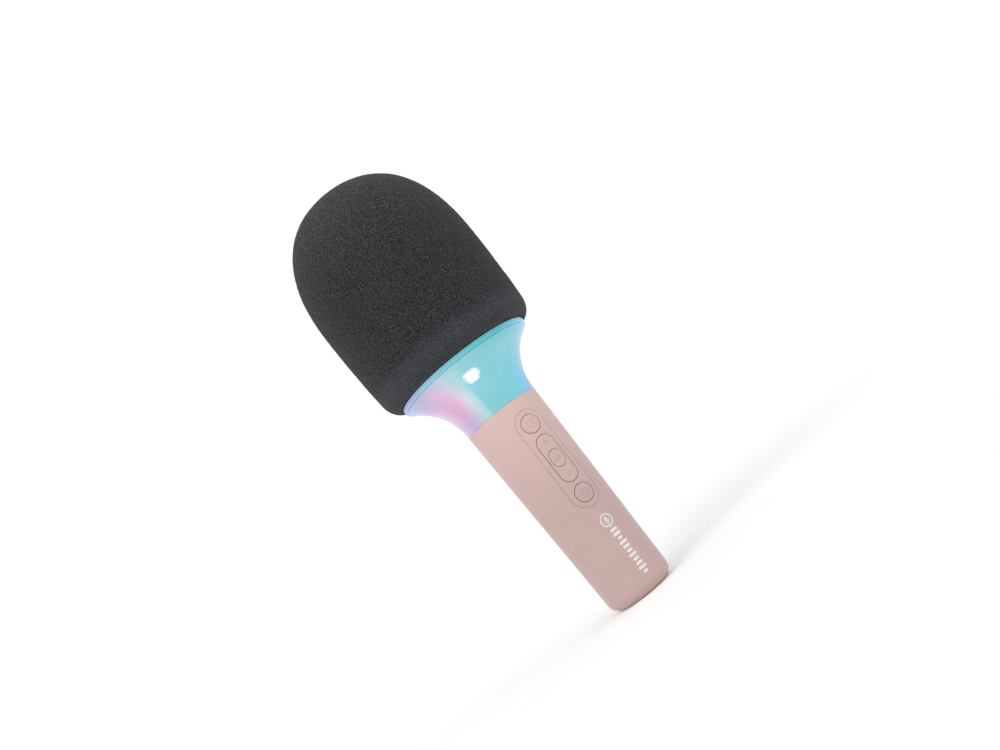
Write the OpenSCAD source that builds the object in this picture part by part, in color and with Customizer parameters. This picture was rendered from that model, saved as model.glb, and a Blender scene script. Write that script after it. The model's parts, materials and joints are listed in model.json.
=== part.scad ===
// Toy karaoke microphone: a foam windscreen over a grille cage, a light-up cup that holds a
// loudspeaker, and a tapered handle with a key panel, a circuit board and a battery.
// It stands on its flat base. Millimetres, +Z up along its axis towards the head.
// Origin: centre of the flat base. The key panel faces -Y.

/* [Handle] */
// Height of the handle, from the base to the bottom of the cup
handle_h = 103.5; // [102:0.5:106]
// Outside radius at the top of the handle
handle_top_r = 19.2; // [19:0.1:19.8]
// Outside radius that the taper would reach at the base
handle_base_r = 16.6; // [16.5:0.1:17.2]
// Rounding of the base edge
base_round_r = 5.5; // [4:0.5:6]
// Wall thickness of the handle
handle_wall = 2; // [1.8:0.1:2.1]
// Thickness of the base
floor_t = 2.5; // [2:0.1:2.6]

/* [Light cup] */
// Height of the flared cup, up to the seam below its rim
cup_h = 26.6; // [26:0.1:27]
// Outside radius of the cup at the seam
cup_rim_r = 35.4; // [35:0.1:35.8]
// Wall thickness of the cup
cup_wall = 2; // [1.8:0.1:2.1]
// Height of the rim ring above the seam
rim_h = 2.4; // [2.3:0.1:2.6]
// Width of the seam between the cup and the rim ring
seam_gap = 0.3; // [0.2:0.05:0.4]

/* [Windscreen] */
// Height of the windscreen's top above the base
screen_top_z = 236.5; // [234:0.5:240]
// Height where the windscreen is widest
screen_wide_z = 180.5; // [178:0.5:184]
// Radius of the windscreen at its widest
screen_r = 43.5; // [43:0.1:44.5]
// Radius of the windscreen just above its turned-under bottom edge
screen_low_r = 41.8; // [41:0.1:42.4]
// Height of the turned-under bottom edge
screen_turn_h = 9.5; // [8:0.5:11]
// Fullness of the dome: 2 is an ellipse, more is squarer
screen_power = 2.45; // [2:0.05:3]
// Clearance between the windscreen and the cage inside it
screen_gap = 0.4; // [0.35:0.05:0.6]

/* [Grille cage] */
// Outside radius of the cage
cage_r = 32.6; // [32.3:0.1:32.7]
// Wall thickness of the cage
cage_wall = 1.8; // [1.6:0.1:2]
// Height where the cage's dome begins
cage_dome_z = 190; // [188:1:192]
// Number of ribs round the cage
cage_ribs = 12; // [10:2:14]

/* [Key panel] */
// Height of the panel's centre
panel_z = 71; // [70.5:0.1:71.5]
// Length of the panel's outline
panel_h = 52.3; // [52.1:0.1:52.8]
// Width of the panel's outline
panel_w = 13.8; // [13.7:0.1:14.2]
// Radius of the round effect and power buttons
button_r = 4.35; // [4.2:0.05:4.5]
// Height of the effect button above the panel's centre, and of the power button below it
button_offset = 19.15; // [19:0.05:19.3]
// Length of the volume rocker
rocker_h = 24.6; // [24.4:0.1:24.8]
// Width of the volume rocker
rocker_w = 8.7; // [8.6:0.1:8.8]
// Width of the upright oval play button in the middle of the rocker
play_w = 6.4; // [6.2:0.1:6.6]
// Height of the play button
play_h = 8.4; // [8:0.1:8.8]
// Gap round each key
key_gap = 0.3; // [0.25:0.05:0.35]
// How far the keys stand proud of the handle's surface
key_proud = 0.15; // [0:0.05:0.3]

/* [Electronics] */
// Radius of the battery cell
cell_r = 9.15; // [9:0.05:9.2]
// Length of the battery cell, with its positive end
cell_h = 65; // [64:0.5:65]
// Thickness of the circuit board
board_t = 1.2; // [1:0.1:1.2]
// Number of lights on the ring board
led_count = 8; // [6:1:10]

/* [Hidden] */
$fn = 96;
eps = 0.01;             // overhang of a cutting tool past the face it cuts

// Cup: its outside is an arc that leaves the handle vertically and reaches the rim
cup_z = handle_h;
seam_z = cup_z + cup_h;
rim_top_z = seam_z + rim_h;
flare_dr = cup_rim_r - handle_top_r;
flare_r = (cup_h * cup_h + flare_dr * flare_dr) / (2 * flare_dr);
flare_x = handle_top_r + flare_r;

// Collar: the part of the cup that plugs into the handle
collar_r = 16.8;
collar_wall = 1.4;
collar_z = 99.2;
collar_floor_t = 1.5;
collar_step_h = 1.2;    // ring that joins the collar to the cup's wall
cup_screw_ring_r = 11.5;
cup_screw_angles = [90, 210, 330];
cup_screw_h = 5;
led_post_ring_r = 9;
led_post_angles = [30, 150, 270];
led_post_r = 1.6;
led_board_z = 105.2;
led_board_r = 16.3;
led_board_t = 1.2;
led_ring_r = 14;
led_size = [3.5, 3.5, 1.4];
led_screw_r = 0.7;
led_screw_h = 3.6;
led_screw_head_r = 1.4;
cable_hole_r = 5.4;
floor_hole_h = 4;       // length of the tools that pierce the collar's floor
lead_window = [19, 4.8];            // slot in front of the board's top for the leads
lead_window_y = -11.6;

// Screws: shank radius, head radius, head height, and clearance in their holes
screw_r = 0.9;
screw_head_r = 1.7;
screw_head_h = 1.1;
screw_gap = 0.1;
cage_screw_count = 4;
cage_screw_r = 1.1;
cage_screw_ring_r = 27.8;
cage_screw_h = 7.5;
boss_hole_h = 3.4;
boss_r = 2.4;
boss_h = 9;

// Rim ring and loudspeaker, from the bottom up
web_t = 1;              // inner shelf of the rim ring
web_inner_r = 23.4;
cage_fit = 0.1;         // between the cage and the rim ring round it
web_z = seam_z + seam_gap / 2;
gasket_t = 0.4;
flange_z = web_z + web_t + gasket_t;
flange_t = 1;
flange_r = 26.3;
basket_r = 23;
basket_wall = 0.9;
basket_floor_r = 12.9;
basket_z = 119.5;
basket_h = flange_z - basket_z;
basket_window = [8, 6]; // width and height of the openings in the basket's side
basket_window_z = 3;    // their height above its floor
neck_gap = 0.8;         // between the voice coil and the basket's floor
pole_gap = 0.3;         // between the voice coil and the top plate
magnet_gap = 1.5;       // between the voice coil and the magnet
top_plate_t = 2;
magnet_h = 6.5;
yoke_t = 2;
magnet_r = 14;
plate_r = 13;
pole_r = 5.4;
coil_r = 6;
coil_wall = 0.35;
coil_h = 9.5;
cone_r = 19.4;
cone_neck_z = 122;
cone_wall = 0.5;
dust_cap_r = 7;
dust_cap_h = 2.5;
dust_cap_z = cone_neck_z + 1.4;
surround_r = 2.2;       // radius of the surround's roll
surround_wall = 0.5;
surround_lip = [1.4, 0.4];  // inset from the flange's edge, and thickness, of its glued lip
spider_z = 121;
spider_t = 0.4;
spider_r = 12.2;
spider_gap = 0.05;      // between the voice coil and the spider

// Cage
cage_base_z = flange_z + flange_t;
cage_base_t = 2;
cage_slot_w = 10;
cage_slot_h = 14;
cage_lip_r = 25;        // inner radius of the cage's foot
cage_step_r = 26.6;     // inner radius of the step below it, clear of the speaker's flange
foot_hole_h = 5;
cage_tiers = [140, 158.5, 177];
dome_slot = [13, 5];    // length and width of the openings in the cage's dome
dome_slot_r = 12;
hub_r = 8.6;
hub_z = 209;
capsule_r = 4.85;
capsule_h = 6.5;
capsule_port_r = 0.5;
capsule_port_ring_r = 2.4;
capsule_port_depth = 0.6;
capsule_lip = 1;        // how far the holder's floor reaches under the capsule
capsule_z = 214;
holder_wall = 1.3;
holder_h = 9;
holder_z = capsule_z - 1.5;
holder_gap = 0.15;      // between the holder and the hub
lead_hole_r = 1;
mic_lead_angle = 75;    // the microphone lead runs up behind a rib
mic_lead_pass_r = 29;

// Windscreen
screen_z = rim_top_z + 0.3;
screen_bore_r = cage_r + screen_gap;
screen_foot_r = cup_rim_r + 1;
dome_steps = 18;
turn_steps = 6;

floor_slope = 3;        // slope between the handle's floor and its wall

// Panel and keys
panel_fit = 0.15;       // gap round the panel in the handle's window
panel_t = 2.7;
panel_flange_z = handle_wall + 0.1;
panel_back = 3;         // depth of the panel's back below the handle's surface
panel_margin = 1;       // how far its rear flange reaches past the window
key_depth = 3.6;
key_flange_front = 3.4;
key_flange_back = 4.1;
key_flange_w = 0.8;
post_r = 2;
rocker_t = 3;
rocker_reach = 9;       // from the rocker's pivot to each of its switches
pivot_y = -15.9;
pivot_r = 0.75;
pivot_gap = 0.06;
pivot_len = 1.3;
pivot_root = 0.3;       // how far each pin reaches into the rocker's side
pivot_end_gap = 0.1;
post_root = 0.5;        // how far each post reaches into the back of its key
effect_z = panel_z + button_offset;
power_z = panel_z - button_offset;
reach = 30;             // longer than any radius of the handle

// Board, switches and what is on the board
board_front_y = -8;
board_back_y = board_front_y + board_t;
board_w = 22.6;
board_z = 11;
board_top_z = 95.5;
tongue_w = 11;
tongue_z = 2.9;
tongue_root = 1;        // how far the tongue overlaps the board above it
board_screw_x = 9.3;
board_screw_zs = [16, 84.5];
board_screw_h = 4.6;
board_hole_h = 10;
// Parts on the board's front, each as x, z, width, height and thickness
chip_boxes = [[-6, 41, 7, 7, 1], [6, 40, 5, 6, 1.4], [7.5, 64, 4, 5, 1.2], [-7.5, 76, 4, 5, 1.2]];
module_boxes = [[0, 24, 13, 15, 0.8], [0, 22, 11, 9, 2]];
socket_boxes = [[-7.6, 92, 5, 5, 3], [7.6, 92, 5, 5, 3]];
capacitor_xs = [-7.5, 7.5];
capacitor_zs = [33.5, 53];
capacitor_r = 2;
capacitor_h = 3.4;
switch_w = 5.2;
switch_h = 3.3;
switch_well = 2.8;
plunger_r = 1.5;
plunger_gap = 0.1;
rocker_plunger_gap = 0.3;
plunger_tip_y = -12.9;
plunger_root_y = -9.3;

// Battery and the chassis that carries it
cell_y = 4.6;
cell_z = 14.1;
cell_nub_r = 2.75;
cell_nub_h = 1.3;
tab_t = 0.8;
tab_r = 4;
spine_w = 24;
spine_t = 1.2;
spine_y = -6.3;
end_wall_t = 1.3;
end_wall_r = 13.8;
cradle_zs = [32, 60];
cradle_size = [23, 7, 1.5];
cell_gap = 0.3;         // between the cell and its cradles
spine_root = 0.1;       // how far the walls and cradles reach into the spine
spacer_r = 1.9;
spacer_h = 3.6;
top_window = [10, 9];   // opening in the spine for the positive lead
top_window_z = 84;
disc_r = 15.6;
disc_t = 2;
usb_size = [8.94, 3.26, 7.4];
usb_wall = 0.3;
usb_back = 1;           // thickness of the socket's closed end
usb_y = board_back_y + usb_size[1] / 2;
usb_z = 0.4;
usb_fit = 0.28;
usb_tongue = [6.6, 0.7, 5.6];

// Leads
lead_r = 0.55;
lead_sides = 8;

// ---- shared shapes ----

function handle_r(z) = handle_base_r + (handle_top_r - handle_base_r) * z / handle_h;

// Outline of the handle, as radius and height, with the rounded base edge as an arc
function handle_outline() =
    let (slope = (handle_top_r - handle_base_r) / handle_h,
         steps = 8,
         centre_r = handle_r(base_round_r) - base_round_r)
    concat([[0, 0]],
           [for (i = [0:steps]) let (a = -90 + 90 * i / steps - atan(slope) * i / steps)
               [centre_r + base_round_r * cos(a), base_round_r + base_round_r * sin(a)]],
           [[handle_top_r, handle_h], [0, handle_h]]);

// Points of a quarter superellipse, from the top of the dome down to its widest ring
function dome_points(r, z, h, power, steps) =
    [for (i = [0:steps]) let (a = 90 * i / steps)
        [r * pow(sin(a), 2 / power), z + h * pow(cos(a), 2 / power)]];

// Turns a shape drawn flat so that its Z points along -Y and its Y points up
module facing_front(z = 0) {
    translate([0, 0, z]) rotate([90, 0, 0]) children();
}

module stadium(w, h) {
    square([w, h - w], center = true);
    for (s = [-1, 1]) translate([0, s * (h - w) / 2]) circle(d = w);
}

// A layer of the handle's wall between two depths below its surface
module wall_layer(front, back) {
    difference() {
        cylinder(h = handle_h, r1 = handle_base_r - front, r2 = handle_top_r - front);
        translate([0, 0, -eps])
            cylinder(h = handle_h + 2 * eps, r1 = handle_base_r - back, r2 = handle_top_r - back);
    }
}

module round_column(r, z) {
    facing_front(z) cylinder(h = reach, r = r);
}

module long_column(w, h, z) {
    facing_front(z) linear_extrude(reach) stadium(w, h);
}

// A key: its top follows the handle's surface, with a flange and a post behind it. The first
// child is the column that cuts its top out, and the second the one that cuts its flange out
module key(z) {
    intersection() {
        wall_layer(-key_proud, key_depth);
        children(0);
    }
    intersection() {
        wall_layer(key_flange_front, key_flange_back);
        children(1);
    }
    key_post(z, key_flange_front, post_r);
}

module round_key(z) {
    key(z) {
        round_column(button_r, z);
        round_column(button_r + key_flange_w, z);
    }
}

// A post from the tip of a switch's plunger out to a depth below the handle's surface
module key_post(z, depth, r) {
    translate([0, plunger_tip_y, z]) rotate([90, 0, 0])
        cylinder(h = handle_r(z) - depth + plunger_tip_y, r = r);
}

module plunger(z) {
    translate([0, plunger_root_y, z]) rotate([90, 0, 0])
        cylinder(h = plunger_root_y - plunger_tip_y, r = plunger_r);
}

// A pan-head screw with its head at the top and its tip at the bottom, head seat at z = 0
module screw(shank_r, shank_h, head_r = screw_head_r) {
    translate([0, 0, -shank_h]) cylinder(h = shank_h + screw_head_h / 2, r = shank_r);
    cylinder(h = screw_head_h, r = head_r);
}

module around(count, radius, start = 0) {
    for (i = [0:count - 1]) rotate([0, 0, start + 360 * i / count])
        translate([radius, 0, 0]) children();
}

module at_cage_screws() {
    around(cage_screw_count, cage_screw_ring_r, 45) children();
}

module at_angles(angles, radius) {
    for (a = angles) rotate([0, 0, a]) translate([radius, 0, 0]) children();
}

module tube(h, outer_r, inner_r) {
    difference() {
        cylinder(h = h, r = outer_r);
        translate([0, 0, -eps]) cylinder(h = h + 2 * eps, r = inner_r);
    }
}

// The cup's flared outline, moved in by a depth, between two heights
module flare(depth, low, high) {
    rotate_extrude() difference() {
        translate([0, low]) square([flare_x, high - low]);
        translate([flare_x, cup_z]) circle(r = flare_r + depth, $fn = 180);
    }
}

// ---- leads ----

function unit(v) = v / norm(v);

// Two rounds of corner cutting turn a short hand-made route into a smooth one
function cut_corners(p) =
    concat([p[0]],
           [for (i = [0:len(p) - 2]) each [p[i] * 0.75 + p[i + 1] * 0.25,
                                           p[i] * 0.25 + p[i + 1] * 0.75]],
           [p[len(p) - 1]]);

function tangent(p, i) = unit(p[min(i + 1, len(p) - 1)] - p[max(i - 1, 0)]);

// A round lead swept along a route; side is a direction that the route never follows
module lead(points, side, r = lead_r) {
    path = cut_corners(cut_corners(points));
    rings = len(path);
    ring_points = [for (i = [0:rings - 1])
        let (t = tangent(path, i), u = unit(cross(t, side)), v = cross(t, u))
        for (k = [0:lead_sides - 1]) let (a = 360 * k / lead_sides)
            path[i] + r * (u * cos(a) + v * sin(a))];
    sides = [for (i = [0:rings - 2]) for (k = [0:lead_sides - 1])
        let (next = (k + 1) % lead_sides)
        [i * lead_sides + k, (i + 1) * lead_sides + k,
         (i + 1) * lead_sides + next, i * lead_sides + next]];
    ends = [[for (k = [0:lead_sides - 1]) k],
            [for (k = [lead_sides - 1:-1:0]) (rings - 1) * lead_sides + k]];
    polyhedron(ring_points, concat(sides, ends));
}

// A point at a radius and height, at an angle round the axis
function polar(r, z, a) = [r * cos(a), r * sin(a), z];

// ---- head ----

module foam_windscreen() color([0.2, 0.2, 0.21]) {
    side_h = screen_wide_z - screen_z - screen_turn_h;
    outline = concat(
        dome_points(screen_r, screen_wide_z, screen_top_z - screen_wide_z, screen_power, dome_steps),
        [for (t = [1 / 4:1 / 4:1])
            [screen_r - (screen_r - screen_low_r) * t * t, screen_wide_z - side_h * t]],
        [for (i = [1:turn_steps]) let (a = 90 * i / turn_steps)
            [screen_foot_r + (screen_low_r - screen_foot_r) * cos(a),
             screen_z + screen_turn_h * (1 - sin(a))]],
        [[0, screen_z]]);
    difference() {
        rotate_extrude() polygon(outline);
        translate([0, 0, screen_z - eps])
            cylinder(h = cage_dome_z - screen_z + eps, r = screen_bore_r);
        translate([0, 0, cage_dome_z]) sphere(r = screen_bore_r);
    }
}

module cage_solid(r) {
    translate([0, 0, cage_base_z]) cylinder(h = cage_dome_z - cage_base_z, r = r);
    translate([0, 0, cage_dome_z]) sphere(r = r);
}

module cage_slots() {
    for (z = cage_tiers, i = [0:cage_ribs / 2 - 1]) rotate([0, 0, 180 * i / (cage_ribs / 2)])
        translate([-reach * 2, -cage_slot_w / 2, z]) cube([4 * reach, cage_slot_w, cage_slot_h]);
    for (i = [0:cage_ribs - 1]) rotate([0, 0, 360 * i / cage_ribs])
        translate([dome_slot_r, -dome_slot[1] / 2, cage_dome_z + cage_slot_h])
            cube([dome_slot[0], dome_slot[1], cage_r]);
}

module grille_cage() color([0.25, 0.25, 0.27]) difference() {
    union() {
        difference() {
            cage_solid(cage_r);
            cage_solid(cage_r - cage_wall);
            cage_slots();
        }
        translate([0, 0, cage_base_z]) tube(cage_base_t, cage_r - eps, cage_lip_r);
        translate([0, 0, web_z + web_t]) tube(cage_base_t, cage_r - seam_gap, cage_step_r);
        intersection() {
            translate([0, 0, hub_z]) cylinder(h = cage_r, r = hub_r);
            cage_solid(cage_r - eps);
        }
    }
    translate([0, 0, hub_z - eps])
        cylinder(h = cage_r, r = capsule_r + holder_wall + holder_gap);
    at_cage_screws() translate([0, 0, web_z])
        cylinder(h = foot_hole_h, r = cage_screw_r + screw_gap);
    at_angles([mic_lead_angle], mic_lead_pass_r) translate([0, 0, web_z])
        cylinder(h = foot_hole_h, r = lead_hole_r);
}

module cage_screws() color([0.7, 0.7, 0.72])
    at_cage_screws()
        translate([0, 0, cage_base_z + cage_base_t]) screw(cage_screw_r, cage_screw_h);

module capsule_holder() color([0.1, 0.1, 0.1])
    difference() {
        translate([0, 0, holder_z]) cylinder(h = holder_h, r = capsule_r + holder_wall);
        translate([0, 0, capsule_z]) cylinder(h = holder_h, r = capsule_r);
        translate([0, 0, holder_z - eps]) cylinder(h = holder_h, r = capsule_r - capsule_lip);
    }

module mic_capsule() color([0.75, 0.75, 0.75])
    translate([0, 0, capsule_z]) difference() {
        cylinder(h = capsule_h, r = capsule_r);
        translate([0, 0, capsule_h - capsule_port_depth]) {
            around(6, capsule_port_ring_r) cylinder(h = 1, r = capsule_port_r);
            cylinder(h = 1, r = capsule_port_r);
        }
    }

// ---- cup and lights ----

module rim_ring() color([0.62, 0.85, 0.92]) difference() {
    union() {
        translate([0, 0, web_z]) tube(rim_top_z - web_z, cup_rim_r, cage_r + cage_fit);
        translate([0, 0, web_z]) tube(web_t, cage_r + 2 * cage_fit, web_inner_r);
    }
    at_cage_screws() translate([0, 0, web_z - 1])
        cylinder(h = web_t + 2, r = cage_screw_r + screw_gap);
    at_angles([mic_lead_angle], mic_lead_pass_r) translate([0, 0, web_z - 1])
        cylinder(h = web_t + 2, r = lead_hole_r);
}

module collar() {
    translate([0, 0, collar_z])
        tube(cup_z + collar_step_h - collar_z, collar_r, collar_r - collar_wall);
    translate([0, 0, cup_z]) tube(collar_step_h, handle_top_r - 1, collar_r - collar_wall);
    translate([0, 0, collar_z]) cylinder(h = collar_floor_t, r = collar_r - collar_wall / 2);
    at_angles(led_post_angles, led_post_ring_r)
        translate([0, 0, collar_z]) cylinder(h = led_board_z - collar_z, r = led_post_r);
}

module cup_bosses() intersection() {
    at_cage_screws()
        translate([0, 0, seam_z - boss_h]) cylinder(h = boss_h - seam_gap / 2, r = boss_r);
    flare(cup_wall / 2, cup_z, seam_z);
}

module diffuser_cup() color([0.62, 0.85, 0.9]) difference() {
    union() {
        difference() {
            flare(0, cup_z, seam_z - seam_gap / 2);
            flare(cup_wall, cup_z - 1, seam_z + 1);
        }
        collar();
        cup_bosses();
    }
    translate([0, 0, collar_z - 1]) cylinder(h = floor_hole_h, r = cable_hole_r);
    translate([-lead_window[0] / 2, lead_window_y - lead_window[1] / 2, collar_z - 1])
        cube([lead_window[0], lead_window[1], floor_hole_h]);
    at_angles(cup_screw_angles, cup_screw_ring_r) translate([0, 0, collar_z - 1])
        cylinder(h = floor_hole_h, r = screw_r + screw_gap);
    at_angles(led_post_angles, led_post_ring_r) translate([0, 0, led_board_z - led_screw_h])
        cylinder(h = floor_hole_h, r = led_screw_r + screw_gap);
    at_cage_screws() translate([0, 0, seam_z - boss_hole_h])
        cylinder(h = boss_hole_h + 1, r = cage_screw_r + screw_gap);
}

module cup_screws() color([0.7, 0.7, 0.72])
    at_angles(cup_screw_angles, cup_screw_ring_r)
        translate([0, 0, collar_z + collar_floor_t]) screw(screw_r, cup_screw_h);

module led_board() color([0.9, 0.92, 0.9]) difference() {
    translate([0, 0, led_board_z]) tube(led_board_t, led_board_r, cable_hole_r);
    at_angles(led_post_angles, led_post_ring_r) translate([0, 0, led_board_z - 1])
        cylinder(h = led_board_t + 2, r = led_screw_r + screw_gap);
}

module leds() color([0.98, 0.95, 0.8])
    around(led_count, led_ring_r, 180 / led_count)
        translate([-led_size[0] / 2, -led_size[1] / 2, led_board_z + led_board_t]) cube(led_size);

module led_board_screws() color([0.7, 0.7, 0.72])
    at_angles(led_post_angles, led_post_ring_r)
        translate([0, 0, led_board_z + led_board_t])
            screw(led_screw_r, led_screw_h, led_screw_head_r);

// ---- loudspeaker ----

module speaker_gasket() color([0.15, 0.15, 0.15])
    translate([0, 0, web_z + web_t]) tube(gasket_t, flange_r, web_inner_r);

module basket_cone(inset) {
    cylinder(h = basket_h + eps, r1 = basket_floor_r - inset, r2 = basket_r - inset);
}

module speaker_frame() color([0.35, 0.35, 0.37]) {
    translate([0, 0, flange_z]) tube(flange_t, flange_r, basket_r - 2 * basket_wall);
    translate([0, 0, basket_z]) difference() {
        basket_cone(0);
        translate([0, 0, basket_wall]) basket_cone(basket_wall);
        translate([0, 0, -eps]) cylinder(h = 2 * basket_wall, r = coil_r + neck_gap);
        for (a = [0, 90]) rotate([0, 0, a])
            translate([-reach, -basket_window[0] / 2, basket_window_z])
                cube([2 * reach, basket_window[0], basket_window[1]]);
    }
}

module speaker_surround() color([0.12, 0.12, 0.12])
    translate([0, 0, flange_z + flange_t]) {
        rotate_extrude() intersection() {
            difference() {
                translate([cone_r + surround_r, 0]) circle(r = surround_r);
                translate([cone_r + surround_r, 0]) circle(r = surround_r - surround_wall);
            }
            square([reach, surround_r]);
        }
        tube(surround_lip[1], flange_r - surround_lip[0], cone_r + 2 * surround_r - surround_wall / 2);
    }

module speaker_cone() color([0.16, 0.16, 0.17]) {
    cone_h = flange_z + flange_t - cone_neck_z;
    translate([0, 0, cone_neck_z]) difference() {
        cylinder(h = cone_h, r1 = coil_r + cone_wall, r2 = cone_r);
        translate([0, 0, -eps])
            cylinder(h = cone_h + 2 * eps, r1 = coil_r, r2 = cone_r - cone_wall);
    }
}

module speaker_dust_cap() color([0.1, 0.1, 0.1]) {
    ball_r = (dust_cap_r * dust_cap_r + dust_cap_h * dust_cap_h) / (2 * dust_cap_h);
    translate([0, 0, dust_cap_z]) intersection() {
        translate([0, 0, dust_cap_h - ball_r]) difference() {
            sphere(r = ball_r);
            sphere(r = ball_r - cone_wall);
        }
        cylinder(h = dust_cap_h + 1, r = dust_cap_r);
    }
}

module speaker_spider() color([0.75, 0.55, 0.3])
    translate([0, 0, spider_z]) tube(spider_t, spider_r, coil_r + spider_gap);

module voice_coil() color([0.72, 0.4, 0.2])
    translate([0, 0, cone_neck_z - coil_h]) tube(coil_h, coil_r, coil_r - coil_wall);

module speaker_top_plate() color([0.6, 0.6, 0.62])
    translate([0, 0, basket_z - top_plate_t]) tube(top_plate_t, plate_r, coil_r + pole_gap);

module speaker_magnet() color([0.22, 0.22, 0.24])
    translate([0, 0, basket_z - top_plate_t - magnet_h]) tube(magnet_h, magnet_r, coil_r + magnet_gap);

module speaker_yoke() color([0.6, 0.6, 0.62]) {
    yoke_z = basket_z - top_plate_t - magnet_h - yoke_t;
    translate([0, 0, yoke_z]) cylinder(h = yoke_t, r = plate_r);
    translate([0, 0, yoke_z + eps]) cylinder(h = basket_z - yoke_z, r = pole_r);
}

// ---- handle and keys ----

module usb_outline(margin) {
    w = usb_size[0] + 2 * margin;
    h = usb_size[1] + 2 * margin;
    square([w - h, h], center = true);
    for (s = [-1, 1]) translate([s * (w - h) / 2, 0]) circle(d = h);
}

module handle_shell() color([0.82, 0.7, 0.68]) difference() {
    rotate_extrude() polygon(handle_outline());
    rotate_extrude() polygon([
        [0, floor_t], [handle_r(floor_t) - handle_wall - floor_slope, floor_t],
        [handle_r(floor_t + floor_slope) - handle_wall, floor_t + floor_slope],
        [handle_top_r - handle_wall, handle_h + eps], [0, handle_h + eps]]);
    long_column(panel_w + 2 * panel_fit, panel_h + 2 * panel_fit, panel_z);
    translate([0, usb_y, -eps]) linear_extrude(floor_t + 2 * eps) usb_outline(usb_fit);
}

module button_panel() color([0.8, 0.68, 0.66]) difference() {
    union() {
        intersection() {
            wall_layer(0, panel_t);
            long_column(panel_w, panel_h, panel_z);
        }
        intersection() {
            wall_layer(panel_flange_z, panel_back);
            long_column(panel_w + 2 * panel_margin, panel_h + 2 * panel_margin, panel_z);
        }
    }
    for (z = [effect_z, power_z]) round_column(button_r + key_gap, z);
    long_column(rocker_w + 2 * key_gap, rocker_h + 2 * key_gap, panel_z);
    pivot(pivot_r + pivot_gap, pivot_len + key_gap + pivot_end_gap);
}

// The rocker's pivot pins, or with more radius the holes that they turn in
module pivot(r, len) {
    for (s = [-1, 1]) translate([s * (rocker_w / 2 - pivot_root), pivot_y, panel_z])
        rotate([0, s * 90, 0]) cylinder(h = len + pivot_root, r = r);
}

module effect_button() color([0.8, 0.68, 0.66]) round_key(effect_z);

module effect_plunger() color([0.1, 0.1, 0.1]) plunger(effect_z);

module volume_rocker() color([0.8, 0.68, 0.66]) {
    difference() {
        intersection() {
            wall_layer(-key_proud, rocker_t);
            long_column(rocker_w, rocker_h, panel_z);
        }
        long_column(play_w + 2 * key_gap, play_h + 2 * key_gap, panel_z);
    }
    pivot(pivot_r, pivot_len);
    for (s = [-1, 1]) key_post(panel_z + s * rocker_reach, rocker_t - post_root, plunger_r);
}

module volume_plungers() color([0.1, 0.1, 0.1])
    for (s = [-1, 1]) plunger(panel_z + s * rocker_reach);

module play_button() color([0.8, 0.68, 0.66]) key(panel_z) {
    long_column(play_w, play_h, panel_z);
    long_column(play_w + 2 * key_flange_w, play_h + 2 * key_flange_w, panel_z);
}

module play_plunger() color([0.1, 0.1, 0.1]) plunger(panel_z);

module power_button() color([0.8, 0.68, 0.66]) round_key(power_z);

module power_plunger() color([0.1, 0.1, 0.1]) plunger(power_z);

// ---- board ----

module main_board() color([0.1, 0.4, 0.25]) difference() {
    union() {
        translate([-board_w / 2, board_front_y, board_z])
            cube([board_w, board_t, board_top_z - board_z]);
        translate([-tongue_w / 2, board_front_y, tongue_z])
            cube([tongue_w, board_t, board_z - tongue_z + tongue_root]);
    }
    board_screw_places() translate([0, 0, -board_hole_h / 2])
        cylinder(h = board_hole_h, r = screw_r + screw_gap);
}

// The four places of the board's screws, with Z along -Y from the board's front face
module board_screw_places() {
    for (x = [-1, 1], z = board_screw_zs)
        translate([x * board_screw_x, board_front_y, z]) rotate([90, 0, 0]) children();
}

module switch_box(z, gap) {
    translate([0, board_front_y, z]) rotate([90, 0, 0]) difference() {
        translate([-switch_w / 2, -switch_w / 2, 0]) cube([switch_w, switch_w, switch_h]);
        translate([0, 0, switch_h - switch_well])
            cylinder(h = switch_well + eps, r = plunger_r + gap);
    }
}

module tact_switches() color([0.65, 0.65, 0.67]) {
    for (z = [effect_z, panel_z, power_z]) switch_box(z, plunger_gap);
    for (s = [-1, 1]) switch_box(panel_z + s * rocker_reach, rocker_plunger_gap);
}

// Boxes on the front of the board, each given as x, z, width, height and thickness
module on_board(boxes) {
    for (b = boxes) translate([b[0] - b[2] / 2, board_front_y - b[4], b[1] - b[3] / 2])
        cube([b[2], b[4], b[3]]);
}

module board_chips() color([0.08, 0.08, 0.09]) on_board(chip_boxes);

module bluetooth_module() color([0.72, 0.73, 0.75]) on_board(module_boxes);

module board_capacitors() color([0.75, 0.75, 0.8])
    for (x = capacitor_xs, z = capacitor_zs) translate([x, board_front_y, z])
        rotate([90, 0, 0]) cylinder(h = capacitor_h, r = capacitor_r);

module lead_sockets() color([0.95, 0.94, 0.9]) on_board(socket_boxes);

module board_screws() color([0.7, 0.7, 0.72])
    board_screw_places() screw(screw_r, board_screw_h);

module usb_shell() color([0.75, 0.76, 0.78])
    translate([0, usb_y, usb_z]) difference() {
        linear_extrude(usb_size[2]) usb_outline(0);
        translate([0, 0, -eps]) linear_extrude(usb_size[2] - usb_back + eps) usb_outline(-usb_wall);
    }

module usb_tongue() color([0.1, 0.1, 0.1])
    translate([-usb_tongue[0] / 2, usb_y - usb_tongue[1] / 2,
               usb_z + usb_size[2] - usb_back - usb_tongue[2]]) cube(usb_tongue);

// ---- battery and chassis ----

module end_wall(z) {
    translate([0, 0, z]) difference() {
        intersection() {
            cylinder(h = end_wall_t, r = end_wall_r);
            translate([-reach, spine_y + spine_root, 0]) cube([2 * reach, reach, end_wall_t]);
        }
        translate([0, cell_y, -1]) cylinder(h = end_wall_t + 2, r = cell_nub_r);
    }
}

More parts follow.
